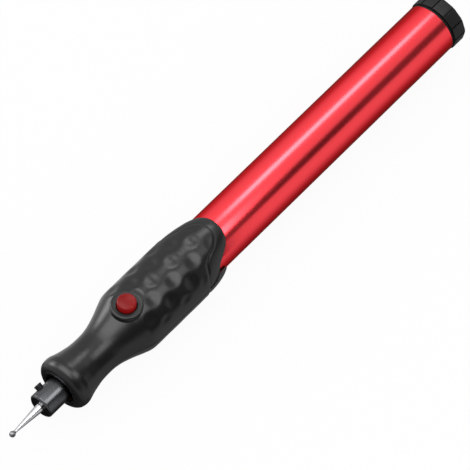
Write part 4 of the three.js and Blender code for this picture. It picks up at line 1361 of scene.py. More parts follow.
@dataclass
class Barrel:
    """The drawn tube that holds the cells, with the thread at its rear."""

    pen: Pen
    front_x: float = -19.3
    sides: int = 128
    edge: float = 0.12

    def build(self) -> None:
        """Makes the tube."""
        outer, inner, rear = self.pen.tube_radius, self.pen.tube_inner, self.pen.tube_rear_x
        profile = rounded(
            [(self.front_x, inner), (self.front_x, outer), (rear, outer), (rear, inner)],
            self.edge)
        shape = Shape().turn(profile, about_x, self.sides)
        thread = Thread()
        thread.add(shape, self.pen.plug_front_x + thread.front_gap, rear - thread.rear_gap,
                   inner + thread.root_depth, inner - thread.height)
        dressed(shape, "barrel_tube", "housing", Stuff.TUBE)


@dataclass
class Cap:
    """The screw cap with flats and grooves, its seal and its spring."""

    pen: Pen
    facets: int = 12
    radius: float = 7.47
    flat_radius: float = 7.32
    flat_columns: int = 12
    front_x: float = 78.45
    groove_half: float = 0.25
    groove_depth: float = 0.42
    groove_lip: float = 0.04
    groove_soft: float = 0.05
    groove_foot: float = 0.9
    bevel: float = 0.5
    rest_angle: float = math.radians(9)
    face_share: float = 0.93
    dish_share: float = 0.97
    dish_depth: float = 0.12
    plug_radius: float = 5.95
    plug_wall: float = 0.75
    plug_edge: float = 0.1
    plug_overlap: float = 0.1
    sides: int = 96
    seal_wire: float = 0.4
    seal_gap: float = 0.3
    seal_ease: float = 0.01
    seal_room: float = 0.025
    seal_sides: int = 16
    spring_wire: float = 0.3
    spring_radius: float = 3.4
    spring_front_x: float = 72.05
    spring_rear_x: float = 80.3
    spring_curls: float = 5.0
    spring_steps: int = 28
    spring_sides: int = 12

    FRONT_ROUND = ((0.0, 0.12), (0.02, 0.05), (0.06, 0.01), (0.1, 0.0))
    BEVEL_ROUND = ((1.0, 0.0), (0.75, 0.06), (0.4, 0.3), (0.12, 0.68), (0.0, 1.1))

    def angles(self) -> list[tuple[float, float]]:
        """The head's columns.

        Returns:
            Pairs of an angle and how deep the groove is there.
        """
        facet = math.tau / self.facets
        half, soft = self.groove_half / self.radius, self.groove_soft / self.radius
        after = [
            (half / 2, self.groove_depth), (half - soft, self.groove_depth * self.groove_foot),
            (half, self.groove_lip), (half + soft, 0.0)]
        groove = [(-offset, depth) for offset, depth in reversed(after)] + after
        made = []
        for i in range(self.facets):
            corner = (i - 0.5) * facet + self.rest_angle
            made += [(corner + offset, depth) for offset, depth in groove]
            made += [
                (corner + half + soft + (facet - 2 * half - 2 * soft) * k / self.flat_columns, 0.0)
                for k in range(1, self.flat_columns)]
        return made

    def head_ring(self, x: float, inset: float) -> list[Point]:
        """A ring of the head, moved in by an inset except in the grooves.

        Args:
            x: Where it lies along the pen.
            inset: How far it is moved in.

        Returns:
            Its points.
        """
        facet = math.tau / self.facets
        points = []
        for angle, depth in self.angles():
            turned = angle - self.rest_angle
            from_middle = turned - round(turned / facet) * facet
            skin = min(self.flat_radius / math.cos(from_middle), self.radius)
            points.append(about_x(x, min(skin - inset, skin - depth), angle))
        return points

    def head(self, shape: Shape) -> None:
        """Adds the grooved head.

        Args:
            shape: The shape that it joins.
        """
        rear = self.pen.rear_x
        rounds = [(self.front_x + back, inset) for back, inset in self.FRONT_ROUND]
        rounds += [
            (rear - self.bevel * ahead, self.bevel * inset) for ahead, inset in self.BEVEL_ROUND]
        rings = [self.head_ring(x, inset) for x, inset in rounds]
        face = [(rear, y * self.face_share, z * self.face_share) for _, y, z in rings[-1]]
        floor_x = rear - self.dish_depth
        dish = [(floor_x, y * self.dish_share, z * self.dish_share) for _, y, z in face]
        rows = [shape.row(ring) for ring in (*rings, face, dish)]
        shape.skin(rows)
        shape.fan(rows[-1], (floor_x, 0.0, 0.0))
        shape.fan(rows[0], (self.front_x, 0.0, 0.0), flip=True)

    def cap(self) -> None:
        """Makes the cap with its plug and thread."""
        shape = Shape()
        self.head(shape)
        front, outer = self.pen.plug_front_x, self.plug_radius
        bore = outer - self.plug_wall
        in_head = self.front_x + self.plug_overlap
        shape.turn(rounded(
            [(front, bore), (front, outer), (in_head, outer), (in_head, bore)],
            self.plug_edge), about_x, self.sides)
        thread = Thread()
        thread.add(shape, front + thread.front_gap + thread.pitch / 2,
                   self.pen.tube_rear_x - thread.rear_gap,
                   outer - thread.root_depth, outer + thread.height)
        dressed(shape, "end_cap", "cap", Stuff.BLACK, crease=24.0)

    def build(self) -> None:
        """Makes the cap, the seal and the spring."""
        self.cap()
        seal_middle = self.plug_radius + self.seal_gap + self.seal_wire
        seal_x = self.pen.tube_rear_x + self.seal_wire + self.seal_room
        ring = [about_x(seal_x, seal_middle, math.tau * k / self.sides) for k in range(self.sides)]
        seal = Shape().wire(ring, self.seal_wire - self.seal_ease, self.seal_sides, loop=True)
        dressed(seal, "cap_seal", "cap", Stuff.RUBBER)
        spring = Coil(self.spring_wire, self.spring_radius, self.spring_curls,
                      self.spring_steps, self.spring_sides)
        dressed(spring.shape(self.spring_front_x, self.spring_rear_x, about_x),
                "cap_spring", "cap_carrier", Stuff.BRIGHT_STEEL)


@dataclass
class Coil:
    """A coil spring whose end curls lie closer than its middle ones."""

    wire: float
    radius: float
    curls: float
    steps_per_curl: int
    sides: int
    closing: float = 0.35

    def shape(self, low: float, high: float, place: Place) -> Shape:
        """The spring between two places along its axis.

        Args:
            low: Where it starts.
            high: Where it ends.
            place: Gives a point from a place along, a radius and an angle.

        Returns:
            Its shape.
        """
        count = round(self.curls * self.steps_per_curl)
        path = []
        for i in range(count + 1):
            share = i / count
            risen = blend(share, eased(share), self.closing)
            along = blend(low + self.wire, high - self.wire, risen)
            path.append(place(along, self.radius, math.tau * i / self.steps_per_curl))
        return Shape().wire(path, self.wire, self.sides)


@dataclass
class Tool:
    """The chuck on its spindle, the set screw and the bit."""

    pen: Pen
    chuck_radius: float = 3.43
    chuck_sides: int = 96
    chuck_bevel: float = 0.42
    chuck_bevel_length: float = 0.36
    chuck_edge: float = 0.1
    mouth_bevel: float = 0.14
    mouth_bevel_length: float = 0.12
    journal_radius: float = 2.45
    tail_radius: float = 1.0
    head_length: float = 8.2
    journal_rear_x: float = -57.6
    tail_rear_x: float = -49.9
    run_gap: float = 0.1
    bore_gap: float = 0.3
    cutter_reach: float = 2.0
    shank_radius: float = 1.175
    shank_in_chuck: float = 13.2
    screw_radius: float = 1.05
    screw_proud: float = 1.0
    screw_from_front: float = 3.3
    screw_angle: float = math.radians(63)
    screw_sides: int = 48
    screw_tip: float = 0.25
    screw_pitch: float = 0.4
    screw_thread_start: float = 0.35
    screw_thread_depth: float = 0.1
    screw_rim: float = 0.12
    socket_size: float = 0.52
    socket_mouth: float = 0.6
    socket_bevel: float = 0.06
    socket_depth: float = 1.1
    socket_cone: float = 0.1
    ball_radius: float = 0.8
    ball_rows: int = 24
    neck_radius: float = 0.4
    flutes: int = 10
    flute_lean: float = 0.45
    flute_depth: float = 0.1
    bit_sides: int = 80

    RIDGE = ((0.0, 0.0), (0.12, 1.0), (0.28, 1.0), (0.4, 0.0))
    RIM_ROUND = ((0.12, 0.0), (0.03, 0.05), (0.0, 0.14))
    TAPER = (
        (0.04, 0.0), (0.12, 0.05), (0.3, 0.25), (0.5, 0.47), (0.7, 0.69), (0.9, 0.91),
        (0.97, 0.985), (1.0, 1.0))
    SHANK_ROUND = ((0.2, 0.0), (0.06, 0.06), (0.0, 0.2))

    def towards_screw(self, along: float, radius: float, angle: float) -> Point:
        """A point on a circle about the set screw's axis.

        Args:
            along: How far it lies from the pen's axis, towards the screw's head.
            radius: The circle's radius.
            angle: The angle about the screw's axis.

        Returns:
            The point.
        """
        x, y, z = radius * math.cos(angle), radius * math.sin(angle), along
        sine, cosine = math.sin(self.screw_angle), math.cos(self.screw_angle)
        middle = self.pen.chuck_front_x + self.screw_from_front
        return (middle + x, y * cosine + z * sine, -y * sine + z * cosine)

    def chuck(self) -> None:
        """Makes the chuck with its screw hole."""
        front = self.pen.chuck_front_x
        bore = self.shank_radius + self.run_gap
        head_rear = front + self.head_length
        bore_rear = front + self.shank_in_chuck + self.bore_gap
        body = Shape().turn(rounded([
            (front + self.mouth_bevel_length, bore), (front, bore + self.mouth_bevel),
            (front, self.chuck_radius - self.chuck_bevel),
            (front + self.chuck_bevel_length, self.chuck_radius), (head_rear, self.chuck_radius),
            (head_rear, self.journal_radius), (self.journal_rear_x, self.journal_radius),
            (self.journal_rear_x, self.tail_radius), (self.tail_rear_x, self.tail_radius),
            (self.tail_rear_x, 0.0), (bore_rear, 0.0), (bore_rear, bore)],
            self.chuck_edge), about_x, self.chuck_sides)
        steel = FINISHES[Stuff.DARK_STEEL]
        made = body.piece("spindle_chuck_look", steel)
        hole_radius = self.screw_radius + self.run_gap
        hole_end = self.chuck_radius + self.cutter_reach
        hole = Shape().turn(
            [(0.0, 0.0), (0.0, hole_radius), (hole_end, hole_radius), (hole_end, 0.0)],
            self.towards_screw, self.screw_sides).piece("screw_hole_cutter", steel)
        cut = made.modifiers.new("screw_hole", "BOOLEAN")
        cut.operation, cut.solver, cut.object = "DIFFERENCE", "EXACT", hole
        bpy.context.view_layer.update()
        whole = made.evaluated_get(bpy.context.evaluated_depsgraph_get())
        drilled = bpy.data.meshes.new_from_object(whole)
        made.modifiers.clear()
        made.data = drilled
        bpy.data.objects.remove(hole)
        shade(drilled, crease=35.0)
        fit(made, "spindle", Stuff.DARK_STEEL, "spindle_chuck")

    def six_sided(self, shape: Shape, place: float, size: float) -> list[int]:
        """Adds a six-sided ring about the set screw's axis.

        Args:
            shape: The shape that it joins.
            place: How far it lies from the pen's axis.
            size: The distance from its middle to a corner.

        Returns:
            Its points' numbers.
        """
        side = math.pi / 3
        points = []
        for j in range(self.screw_sides):
            angle = math.tau * j / self.screw_sides
            off = (angle + side / 2) % side - side / 2
            radius = size * math.cos(side / 2) / math.cos(off)
            points.append(self.towards_screw(place, radius, angle))
        return shape.row(points)

    def screw(self) -> None:
        """Makes the set screw with its six-sided socket and its thread lines."""
        radius = self.screw_radius
        low = self.shank_radius + 2 * self.run_gap
        high = self.chuck_radius + self.screw_proud
        profile = [(low, radius - self.screw_tip), (low + self.screw_tip, radius)]
        along = low + self.screw_thread_start
        while along + self.screw_pitch < high - self.screw_rim:
            profile += [(along + ahead, radius - self.screw_thread_depth * depth)
                        for ahead, depth in self.RIDGE]
            along += self.screw_pitch
        profile += [(high - down, radius - inset) for down, inset in self.RIM_ROUND]
        shape = Shape()
        rows = [shape.ring(self.towards_screw, place, size, self.screw_sides)
                for place, size in profile]
        shape.skin(rows)
        shape.fan(rows[0], self.towards_screw(low, 0.0, 0.0), flip=True)
        floor = high - self.socket_depth
        socket = [self.six_sided(shape, high, self.socket_mouth),
                  self.six_sided(shape, high - self.socket_bevel, self.socket_size),
                  self.six_sided(shape, floor, self.socket_size)]
        shape.skin([rows[-1], *socket])
        shape.fan(socket[-1], self.towards_screw(floor - self.socket_cone, 0.0, 0.0))
        dressed(shape, "set_screw", "chuck_screw", Stuff.BLACK_STEEL)

    def ball_ring(self, tilt: float) -> list[Point]:
        """A ring of the bit's ball with its flutes.

        Args:
            tilt: The angle at the ball's middle from the tip to the ring.

        Returns:
            Its points.
        """
        middle = self.pen.tip_x + self.ball_radius
        cut = math.sin(tilt) ** 2
        points = []
        for j in range(self.bit_sides):
            angle = math.tau * j / self.bit_sides
            wave = abs(math.sin(self.flutes * (angle + tilt * self.flute_lean) / 2))
            radius = self.ball_radius * (1 - self.flute_depth * cut * (1 - wave) ** 2)
            points.append(about_x(
                middle - radius * math.cos(tilt), radius * math.sin(tilt), angle))
        return points

    def bit(self) -> None:
        """Makes the bit: a fluted ball on a tapered neck and a round shank."""
        shape = Shape()
        neck = math.pi - math.asin(self.neck_radius / self.ball_radius)
        rows = [shape.row(self.ball_ring(neck * i / self.ball_rows))
                for i in range(1, self.ball_rows + 1)]
        middle = self.pen.tip_x + self.ball_radius
        ball_rear = middle + math.sqrt(self.ball_radius**2 - self.neck_radius**2)
        taper = self.pen.chuck_front_x - ball_rear
        shank_rear = self.pen.chuck_front_x + self.shank_in_chuck
        stem = [(ball_rear + taper * along, blend(self.neck_radius, self.shank_radius, grown))
                for along, grown in self.TAPER]
        stem += [(shank_rear - ahead, self.shank_radius - inset)
                 for ahead, inset in self.SHANK_ROUND]
        rows += [shape.ring(about_x, x, radius, self.bit_sides) for x, radius in stem]
        shape.skin(rows)
        shape.fan(rows[0], (self.pen.tip_x, 0.0, 0.0), flip=True)
        shape.fan(rows[-1], (shank_rear, 0.0, 0.0))
        made = shape.piece("engraving_bit_look", BIT_STEEL, crease=50.0)
        fit(made, "bit", Stuff.BRIGHT_STEEL, "engraving_bit")

    def build(self) -> None:
        """Makes the chuck, the set screw and the bit."""
        self.chuck()
        self.screw()
        self.bit()


@dataclass
class Button:
    """The domed button with its flange, and the spring that lifts it."""

    pen: Pen
    radius: float = 2.45
    sides: int = 96
    dome: float = 0.2
    edge: float = 0.5
    edge_steps: int = 8
    edge_rise: float = 0.95
    flange_radius: float = 3.2
    flange_thickness: float = 0.5
    flange_edge: float = 0.06
    foot_round: float = 0.05
    socket_radius: float = 1.0
    socket_depth: float = 1.1
    spring_wire: float = 0.15
    spring_radius: float = 1.7
    spring_curls: float = 2.2
    spring_steps: int = 36
    spring_sides: int = 10
    spring_gap: float = 0.05
    travel: float = 0.8

    def outline(self) -> list[tuple[float, float]]:
        """The button's profile: flange, wall, rounded edge, dome and the socket under it.

        Returns:
            Heights and radii.
        """
        base, top = self.pen.flange_base, self.pen.button_top
        flange_top = base + self.flange_thickness
        wall_top = top - self.dome - self.edge
        profile = [
            (base, self.socket_radius), (base, self.flange_radius - self.flange_edge),
            (base + self.flange_edge, self.flange_radius),
            (flange_top - self.flange_edge, self.flange_radius),
            (flange_top, self.flange_radius - self.flange_edge),
            (flange_top, self.radius + self.foot_round),
            (flange_top + self.foot_round, self.radius), (wall_top, self.radius)]
        for k in range(1, self.edge_steps + 1):
            turn = k * math.pi / 2 / self.edge_steps
            profile.append((wall_top + self.edge * math.sin(turn) * self.edge_rise,
                            self.radius - self.edge * (1 - math.cos(turn))))
        crown_radius, crown_base = self.radius - self.edge, profile[-1][0]
        for k in range(1, self.edge_steps + 1):
            share = k / self.edge_steps
            height = blend(crown_base, top, 1 - (1 - share) ** 2)
            profile.append((height, crown_radius * (1 - share)))
        socket_top = base + self.socket_depth
        return [*profile, (socket_top, 0.0), (socket_top, self.socket_radius)]

    def build(self) -> None:
        """Makes the button and its spring."""
        shape = Shape().turn(self.outline(), about_z(self.pen.button_x), self.sides)
        dressed(shape, "push_button", "button", Stuff.RED, crease=50.0)
        spring = Coil(self.spring_wire, self.spring_radius, self.spring_curls,
                      self.spring_steps, self.spring_sides)
        low = self.pen.switch_top + self.spring_gap
        high = self.pen.flange_base - self.spring_gap
        made = dressed(spring.shape(low, high, about_z(self.pen.button_x)),
                       "button_spring", "button", Stuff.BRIGHT_STEEL)
        placed((self.pen.button_x, 0.0, high))
        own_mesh(made)


@dataclass
class Windings:
    """The three coils of the armature, each wound of enamelled wire."""

    pole_count: int = 3
    front_x: float = -31.83
    rear_x: float = -24.83
    width: float = 3.1
    low: float = 1.4
    high: float = 2.2
    stem_half: float = 0.7
    stem_gap: float = 0.02
    wire: float = 0.14
    wire_sides: int = 8
    corner: float = 0.45
    corner_steps: int = 4
    nesting: float = 1.75

    def loop(self, reach: float, height: float) -> list[Point]:
        """One turn of wire round a stem.

        Args:
            reach: How far it lies from the stem.
            height: How far it lies from the pen's axis.

        Returns:
            The points of its middle line.
        """
        half_x = (self.rear_x - self.front_x) / 2 + reach
        half_y = self.stem_half + reach
        middle = (self.front_x + self.rear_x) / 2
        corner = min(half_y, self.corner + reach)
        points = []
        for sx, sy, start in ((1, 1, 0), (-1, 1, 1), (-1, -1, 2), (1, -1, 3)):
            for k in range(self.corner_steps + 1):
                angle = math.pi / 2 * (start + k / self.corner_steps)
                points.append((
                    middle + sx * (half_x - corner) + corner * math.cos(angle),
                    sy * (half_y - corner) + corner * math.sin(angle), height))
        return points

    def coil(self, index: int) -> Shape:
        """One coil, in layers whose wires lie in the furrows of the layer below.

        Args:
            index: Which pole it is on.

        Returns:
            Its shape.
        """
        shape = Shape()
        turn = Matrix.Rotation(index * math.tau / self.pole_count, 3, "X")
        layer = 0
        reach = self.stem_gap + self.wire
        while self.stem_half + reach + self.wire < self.width / 2:
            height = self.low + self.wire + (self.wire if layer % 2 else 0.0)
            while height + self.wire < self.high:
                path = [tuple(turn @ Vector(p)) for p in self.loop(reach, height)]
                shape.wire(path, self.wire, self.wire_sides, loop=True)
                height += self.wire * 2
            reach += self.wire * self.nesting
            layer += 1
        return shape

    def build(self) -> None:
        """Makes the coils."""
        for index in range(self.pole_count):
            dressed(self.coil(index), f"armature_winding_{index + 1}", "spindle",
                    Stuff.COPPER, crease=60.0)


@dataclass
class Wiring:
    """The three insulated leads."""

    radius: float = 0.35
    sides: int = 14
    steps_per_span: int = 12

    ROUTES = {
        "lead_contact_to_switch": (
            (-20.125, 1.3, 1.3), (-20.125, 2.521, 3.6), (-21.2, 3.7, 5.284), (-23.4, 3.82, 5.456),
            (-34.6, 3.82, 5.456), (-36.25, 3.553, 5.074), (-36.9, 1.2, 3.575)),
        "lead_switch_to_motor": (
            (-43.7, -1.2, 3.575), (-42.9, -3.25, 3.575), (-37.7, -3.25, 3.575),
            (-36.15, -3.553, 5.074), (-34.6, -3.82, 5.456), (-23.4, -3.82, 5.456),
            (-21.2, -3.82, 5.456), (-19.95, -4.3, 1.4), (-19.95, -4.3, 0.0)),
        "lead_clip_to_motor": (
            (-19.95, 0.0, -3.634), (-19.6, 1.2, -3.634), (-19.95, 3.95, -1.4),
            (-19.95, 4.3, 0.0)),
    }

    def build(self) -> None:
        """Makes the leads."""
        for name, points in self.ROUTES.items():
            stuff = Stuff.BLACK_WIRE if name == "lead_clip_to_motor" else Stuff.RED_WIRE
            shape = Shape().wire(curve(points, self.steps_per_span), self.radius, self.sides)
            dressed(shape, name, "housing", stuff, crease=50.0)


def curve(points: Sequence[Point], steps_per_span: int) -> list[Point]:
    """A smooth line through points, bending least where they lie close together.

    Args:
        points: The points that it passes.
        steps_per_span: How many steps it has from one point to the next.

    Returns:
        The line's points.
    """
    shortest_span = 1e-6
    line = [Vector(p) for p in points]
    line = [2 * line[0] - line[1], *line, 2 * line[-1] - line[-2]]
    made = []
    for a, b, c, d in zip(line, line[1:], line[2:], line[3:]):
        times = [0.0]
        for one, other in ((a, b), (b, c), (c, d)):
            times.append(times[-1] + math.sqrt(max((other - one).length, shortest_span)))
        for k in range(steps_per_span):
            t = blend(times[1], times[2], k / steps_per_span)

            def pull(p: Vector, q: Vector, start: float, end: float) -> Vector:
                """The point between p and q at the time t."""
                return p * ((end - t) / (end - start)) + q * ((t - start) / (end - start))

            ab, bc, cd = (
                pull(a, b, times[0], times[1]), pull(b, c, times[1], times[2]),
                pull(c, d, times[2], times[3]))
            abc, bcd = pull(ab, bc, times[0], times[2]), pull(bc, cd, times[1], times[3])
            made.append(tuple(pull(abc, bcd, times[1], times[2])))
    made.append(tuple(line[-2]))
    return made


@dataclass
class CarriedPieces:
    """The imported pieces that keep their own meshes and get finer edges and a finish."""

    edge: float = 0.06
    edge_segments: int = 2
    crease: float = 34.0
    same_place: float = 1e-6

    STUFFS = {
        "front_bush": Stuff.BRONZE, "battery_sleeve": Stuff.WHITE, "battery_front": Stuff.CELL,
        "battery_rear": Stuff.CELL, "contact_carrier": Stuff.WHITE,
        "front_contact_plate": Stuff.BRASS, "ground_clip": Stuff.BRASS,
        "motor_can": Stuff.BRIGHT_STEEL, "motor_end_bell": Stuff.WHITE,
        "motor_magnet_upper": Stuff.IRON, "motor_magnet_lower": Stuff.IRON,
        "motor_brush_left": Stuff.COPPER, "motor_brush_right": Stuff.COPPER,
        "motor_terminal_left": Stuff.BRASS, "motor_terminal_right": Stuff.BRASS,
        "motor_shaft": Stuff.BRIGHT_STEEL, "armature_core": Stuff.IRON,
        "commutator": Stuff.COPPER, "shaft_coupling": Stuff.RUBBER,
        "switch_plunger": Stuff.WHITE, "switch_body": Stuff.BLACK,
        "switch_terminal_front": Stuff.BRASS, "switch_terminal_rear": Stuff.BRASS,
        "cap_contact_plate": Stuff.BRASS,
    }

    def build(self) -> None:
        """Dresses the pieces."""
        for name, stuff in self.STUFFS.items():
            node = frame["nodes"][name]
            weld = node.modifiers.new("weld", "WELD")
            weld.merge_threshold = self.same_place
            edge = node.modifiers.new("edge", "BEVEL")
            edge.width = self.edge * MM
            edge.segments = self.edge_segments
            edge.limit_method = "ANGLE"
            edge.angle_limit = math.radians(self.crease)
            edge.harden_normals = True
            shade(node.data, crease=180.0)
            node.data.materials.clear()
            node.data.materials.append(FINISHES[stuff].material())
            log.info("%s is carried over", name)


@dataclass
class PhotoCamera:
    """The camera at the photograph's viewing angle."""

    azimuth: float = -51.322
    elevation: float = 57.776
    roll: float = 2.392
    distance: float = 1106.0
    lens: float = 340.32
    sensor_width: float = 36.0
    clip_start: float = 0.05
    clip_end: float = 20.0
    target: Point = (-2.6458, -2.7764, -1.0669)

    def build(self) -> None:
        """Makes the camera."""
        a, e, r = (math.radians(v) for v in (self.azimuth, self.elevation, self.roll))
        back = Vector((
            math.sin(a) * math.cos(e), -math.cos(a) * math.cos(e), math.sin(e)))
        level = Vector((math.cos(a), math.sin(a), 0.0))
        rise = back.cross(level)
        right = level * math.cos(r) + rise * math.sin(r)
        up = back.cross(right)
        data = bpy.data.cameras.new("photo_camera")
        data.lens, data.sensor_width = self.lens, self.sensor_width
        data.clip_start, data.clip_end = self.clip_start, self.clip_end
        made = bpy.data.objects.new("photo_camera", data)
        place = placed(Vector(self.target) + back * self.distance)
        made.matrix_world = facing(right, up, back, place)
        bpy.context.scene.collection.objects.link(made)
        bpy.context.scene.camera = made
        log.info("camera at %s", tuple(round(c, 4) for c in place))


def facing(across: Vector, up: Vector, back: Vector, place: Point) -> Matrix:
    """The matrix of something at a place, turned to three directions.

    Args:
        across: The direction of its own X.
        up: The direction of its own Y.
        back: The direction of its own Z.
        place: Where it is, in metres in the frame.

    Returns:
        The matrix.
    """
    x, y, z = place
    return Matrix((
        (across.x, up.x, back.x, x), (across.y, up.y, back.y, y),
        (across.z, up.z, back.z, z), (0.0, 0.0, 0.0, 1.0)))


@dataclass(frozen=True)
class Panel:
    """A soft lamp or a dark card that the pen mirrors, in metres from the pen's axis."""

    name: str
    middle: Point
    back: Point
    length: float
    width: float
    brightness: float

    @classmethod
    def far(cls, name: str, direction: Point, length: float, width: float,
            brightness: float) -> "Panel":
        """A panel that stands far off in a direction from the pen's middle and faces it."""
        middle = tuple(Vector(direction).normalized() * FAR_PANEL)
        return cls(name, middle, direction, length, width, brightness)

    def matrix(self) -> Matrix:
        """The panel's place, with its long side as near the pen's axis as it can be.

        Returns:
            Its matrix.
        """
        back = Vector(self.back).normalized()
        across = back.cross(Vector((1.0, 0.0, 0.0))).normalized()
        x, y, z = self.middle
        return facing(across.cross(back), across, back, (x, y, z + AXIS_Z * MM))

    def lamp(self) -> None:
        """Makes it as a soft lamp that only reflections show."""
        data = bpy.data.lights.new(self.name, "AREA")
        data.shape = "RECTANGLE"
        data.size, data.size_y = self.length, self.width
        data.energy = 4 * self.length * self.width * self.brightness
        made = bpy.data.objects.new(self.name, data)
        made.matrix_world = self.matrix()
        made.visible_camera = False
        made.visible_diffuse = False
        bpy.context.scene.collection.objects.link(made)

    def card(self) -> None:
        """Makes it as a dark card that only reflections show."""
        x, y = self.length / 2, self.width / 2
        card = mirrored_card(
            self.name, [(-x, -y, 0.0), (x, -y, 0.0), (x, y, 0.0), (-x, y, 0.0)])
        card.matrix_world = self.matrix()
        Bench(card.data.materials[0].node_tree).glow(grey(self.brightness))


@dataclass(frozen=True)
class ShadedCard:
    """A card along the pen whose light changes across it, for the floor's own shade.

    It runs from one (y, z) place to another, in millimetres, and its stops are pairs of a share
    of the way and a brightness.
    """

    name: str
    start: tuple[float, float]
    end: tuple[float, float]
    front_x: float
    rear_x: float
    stops: Profile

    def build(self) -> None:
        """Makes the card."""
        (y0, z0), (y1, z1) = self.start, self.end
        front, rear = self.front_x, self.rear_x
        card = mirrored_card(self.name, [
            placed(p)
            for p in ((front, y0, z0), (rear, y0, z0), (rear, y1, z1), (front, y1, z1))])
        bench = Bench(card.data.materials[0].node_tree)
        _, y, z = bench.axes()
        span = (y1 - y0) ** 2 + (z1 - z0) ** 2
        share = ((y - y0) * (y1 - y0) + (z - z0) * (z1 - z0)) / span
        ramp = bench.node(
            "ShaderNodeValToRGB",
            {"stops": [(place, grey(light)) for place, light in self.stops]},
            {"Fac": share})
        bench.glow(ramp.outputs["Color"])


def mirrored_card(name: str, corners: Sequence[Point]) -> bpy.types.Object:
    """Makes a four-cornered card that only reflections show, with an empty material.

    Args:
        name: Its name.
        corners: Its corners, in metres.

    Returns:
        The card, in the scene.
    """
    made = flat_sheet(name, corners)
    made.visible_camera = False
    made.visible_diffuse = False
    made.visible_shadow = False
    made.visible_transmission = False
    return made


def flat_sheet(name: str, corners: Sequence[Point]) -> bpy.types.Object:
    """Makes a four-cornered sheet of the stage, with an empty material.

    Args:
        name: Its name.
        corners: Its corners, in metres.

    Returns:
        The sheet, in the scene.
    """
    mesh = bpy.data.meshes.new(name)
    mesh.from_pydata(corners, [], [(0, 1, 2, 3)])
    made = bpy.data.objects.new(name, mesh)
    bpy.context.scene.collection.objects.link(made)
    paint = bpy.data.materials.new(name)
    paint.use_nodes = True
    mesh.materials.append(paint)
    made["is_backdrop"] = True
    return made


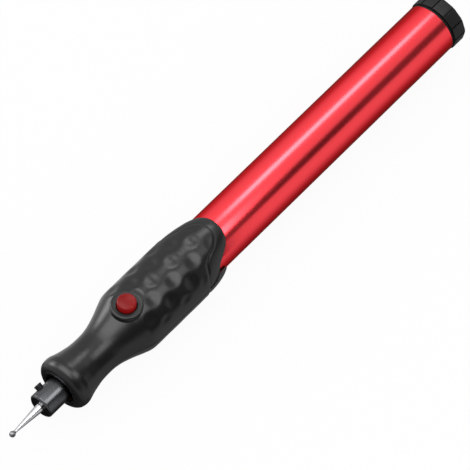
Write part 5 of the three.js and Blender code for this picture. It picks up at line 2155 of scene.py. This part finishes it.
@dataclass
class Studio:
    """The pale floor, the even white surroundings, the soft lamps and the dark cards."""

    pen: Pen
    floor_size: float = 6.0
    floor_light: float = 0.94
    floor_gap: float = 0.02
    card_gap: float = 0.01

    LAMPS = (
        Panel("tube_strip", (0.123, 0.0506, 0.1556), (0.0, 0.309, 0.951), 0.154, 0.043, 6.1),
        Panel.far("front_box", (-0.45, 0.2, 0.87), 0.4, 0.9, 3.6),
        Panel.far("waist_box", (-0.08, 0.25, 0.965), 0.26, 0.8, 4.2),
        Panel.far("left_box", (-0.24, 0.94, 0.25), 0.44, 0.3, 7.0),
        Panel("grip_strip", (-0.003, -0.063, 0.136), (0.0, -0.42, 0.907), 0.084, 0.066, 4.4),
    )
    CARDS = (
        Panel("strip_start", (0.073, -0.0906, 0.0787), (0.0, -0.755, 0.656), 0.066, 0.046, 0.03),
        Panel.far("dark_strip", (0.416, -0.686, 0.597), 1.6, 0.36, 0.15),
        Panel.far("dark_side", (-0.5, -0.74, 0.45), 0.9, 0.8, 0.05),
    )

    def build(self) -> None:
        """Makes the floor, the world, the lamps and the cards."""
        scene = bpy.context.scene
        scene.view_settings.view_transform = "Standard"
        world = bpy.data.worlds.new("studio")
        world.use_nodes = True
        scene.world = world
        bench = Bench(world.node_tree)
        sky = bench.node("ShaderNodeBackground", None, {"Color": grey(1.0)})
        bench.node("ShaderNodeOutputWorld", None, {"Surface": sky.outputs[0]})
        self.floor()
        for panel in self.LAMPS:
            panel.lamp()
        for panel in self.CARDS:
            panel.card()
        for card in self.shades():
            card.build()

    def shades(self) -> list[ShadedCard]:
        """The shade on the floor round the pen, and the dim far side above it.

        Returns:
            The cards that show them.
        """
        low = self.pen.floor_z - self.card_gap
        nose_low = low + self.card_gap
        return [
            ShadedCard(
                "shade_right", (0.0, low), (-150.0, low), -700.0, 700.0,
                ((0.0, 0.26), (0.08, 0.3), (0.095, 0.38), (0.115, 0.45), (0.135, 0.52),
                 (0.175, 0.63), (0.235, 0.82), (0.35, 0.95), (1.0, 1.0))),
            ShadedCard(
                "shade_left", (0.0, low), (300.0, low), -15.0, 700.0,
                ((0.0, 0.26), (0.08, 0.38), (0.1, 0.45), (0.14, 0.53), (0.23, 0.58), (1.0, 0.6))),
            ShadedCard(
                "shade_wall", (300.0, low), (300.0, 150.0), -15.0, 700.0,
                ((0.0, 0.58), (0.2, 0.7), (0.45, 0.82), (1.0, 1.0))),
            ShadedCard(
                "front_flag", (-60.0, low), (-60.0, 65.0), -42.0, 7.0, ((0.0, 0.04), (1.0, 0.04))),
            ShadedCard(
                "shade_nose", (-14.0, nose_low), (26.0, nose_low), -92.0, -58.0,
                ((0.0, 0.1), (0.4, 0.02), (0.7, 0.03), (1.0, 0.4))),
        ]

    def floor(self) -> None:
        """Makes the floor, white to the camera and to reflections, with the pen's shadow."""
        half = self.floor_size / 2
        z = placed((0.0, 0.0, self.pen.floor_z - self.floor_gap))[2]
        made = flat_sheet(
            "floor", [(-half, -half, z), (half, -half, z), (half, half, z), (-half, half, z)])
        bench = Bench(made.data.materials[0].node_tree)
        ray = bench.node("ShaderNodeLightPath").outputs
        seen = Number(bench, ray["Is Camera Ray"]).at_least(Number(bench, ray["Is Glossy Ray"]))
        seen = seen.at_least(Number(bench, ray["Is Transmission Ray"]))
        speckle = bench.noise(grain=3.0)
        matt = bench.node("ShaderNodeBsdfDiffuse", None, {
            "Color": bench.mix(speckle * 0.1, grey(0.9), grey(0.86))})
        white = bench.node("ShaderNodeEmission", None, {"Color": grey(1.0)})
        both = bench.node("ShaderNodeMixShader", None, {
            0: seen * self.floor_light, 1: matt.outputs[0], 2: white.outputs[0]})
        bench.node("ShaderNodeOutputMaterial", None, {"Surface": both.outputs[0]})


def write_sizes() -> None:
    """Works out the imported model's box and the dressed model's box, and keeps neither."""
    boxes = {"cad": CAD_BOX, "look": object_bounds()}
    {k: [list(corner) for corner in box] for k, box in boxes.items()}


def main() -> None:
    """Builds the camera, the pen and the studio."""
    logging.basicConfig(level=logging.INFO, format="%(name)s: %(message)s")
    pen = Pen()
    PhotoCamera().build()
    for part in (Grip(pen), Barrel(pen), Cap(pen), Tool(pen), Button(pen), Windings(), Wiring(),
                 CarriedPieces(), Studio(pen)):
        part.build()
        log.info("%s built", type(part).__name__)
    write_sizes()


if __name__ == "__main__":
    main()
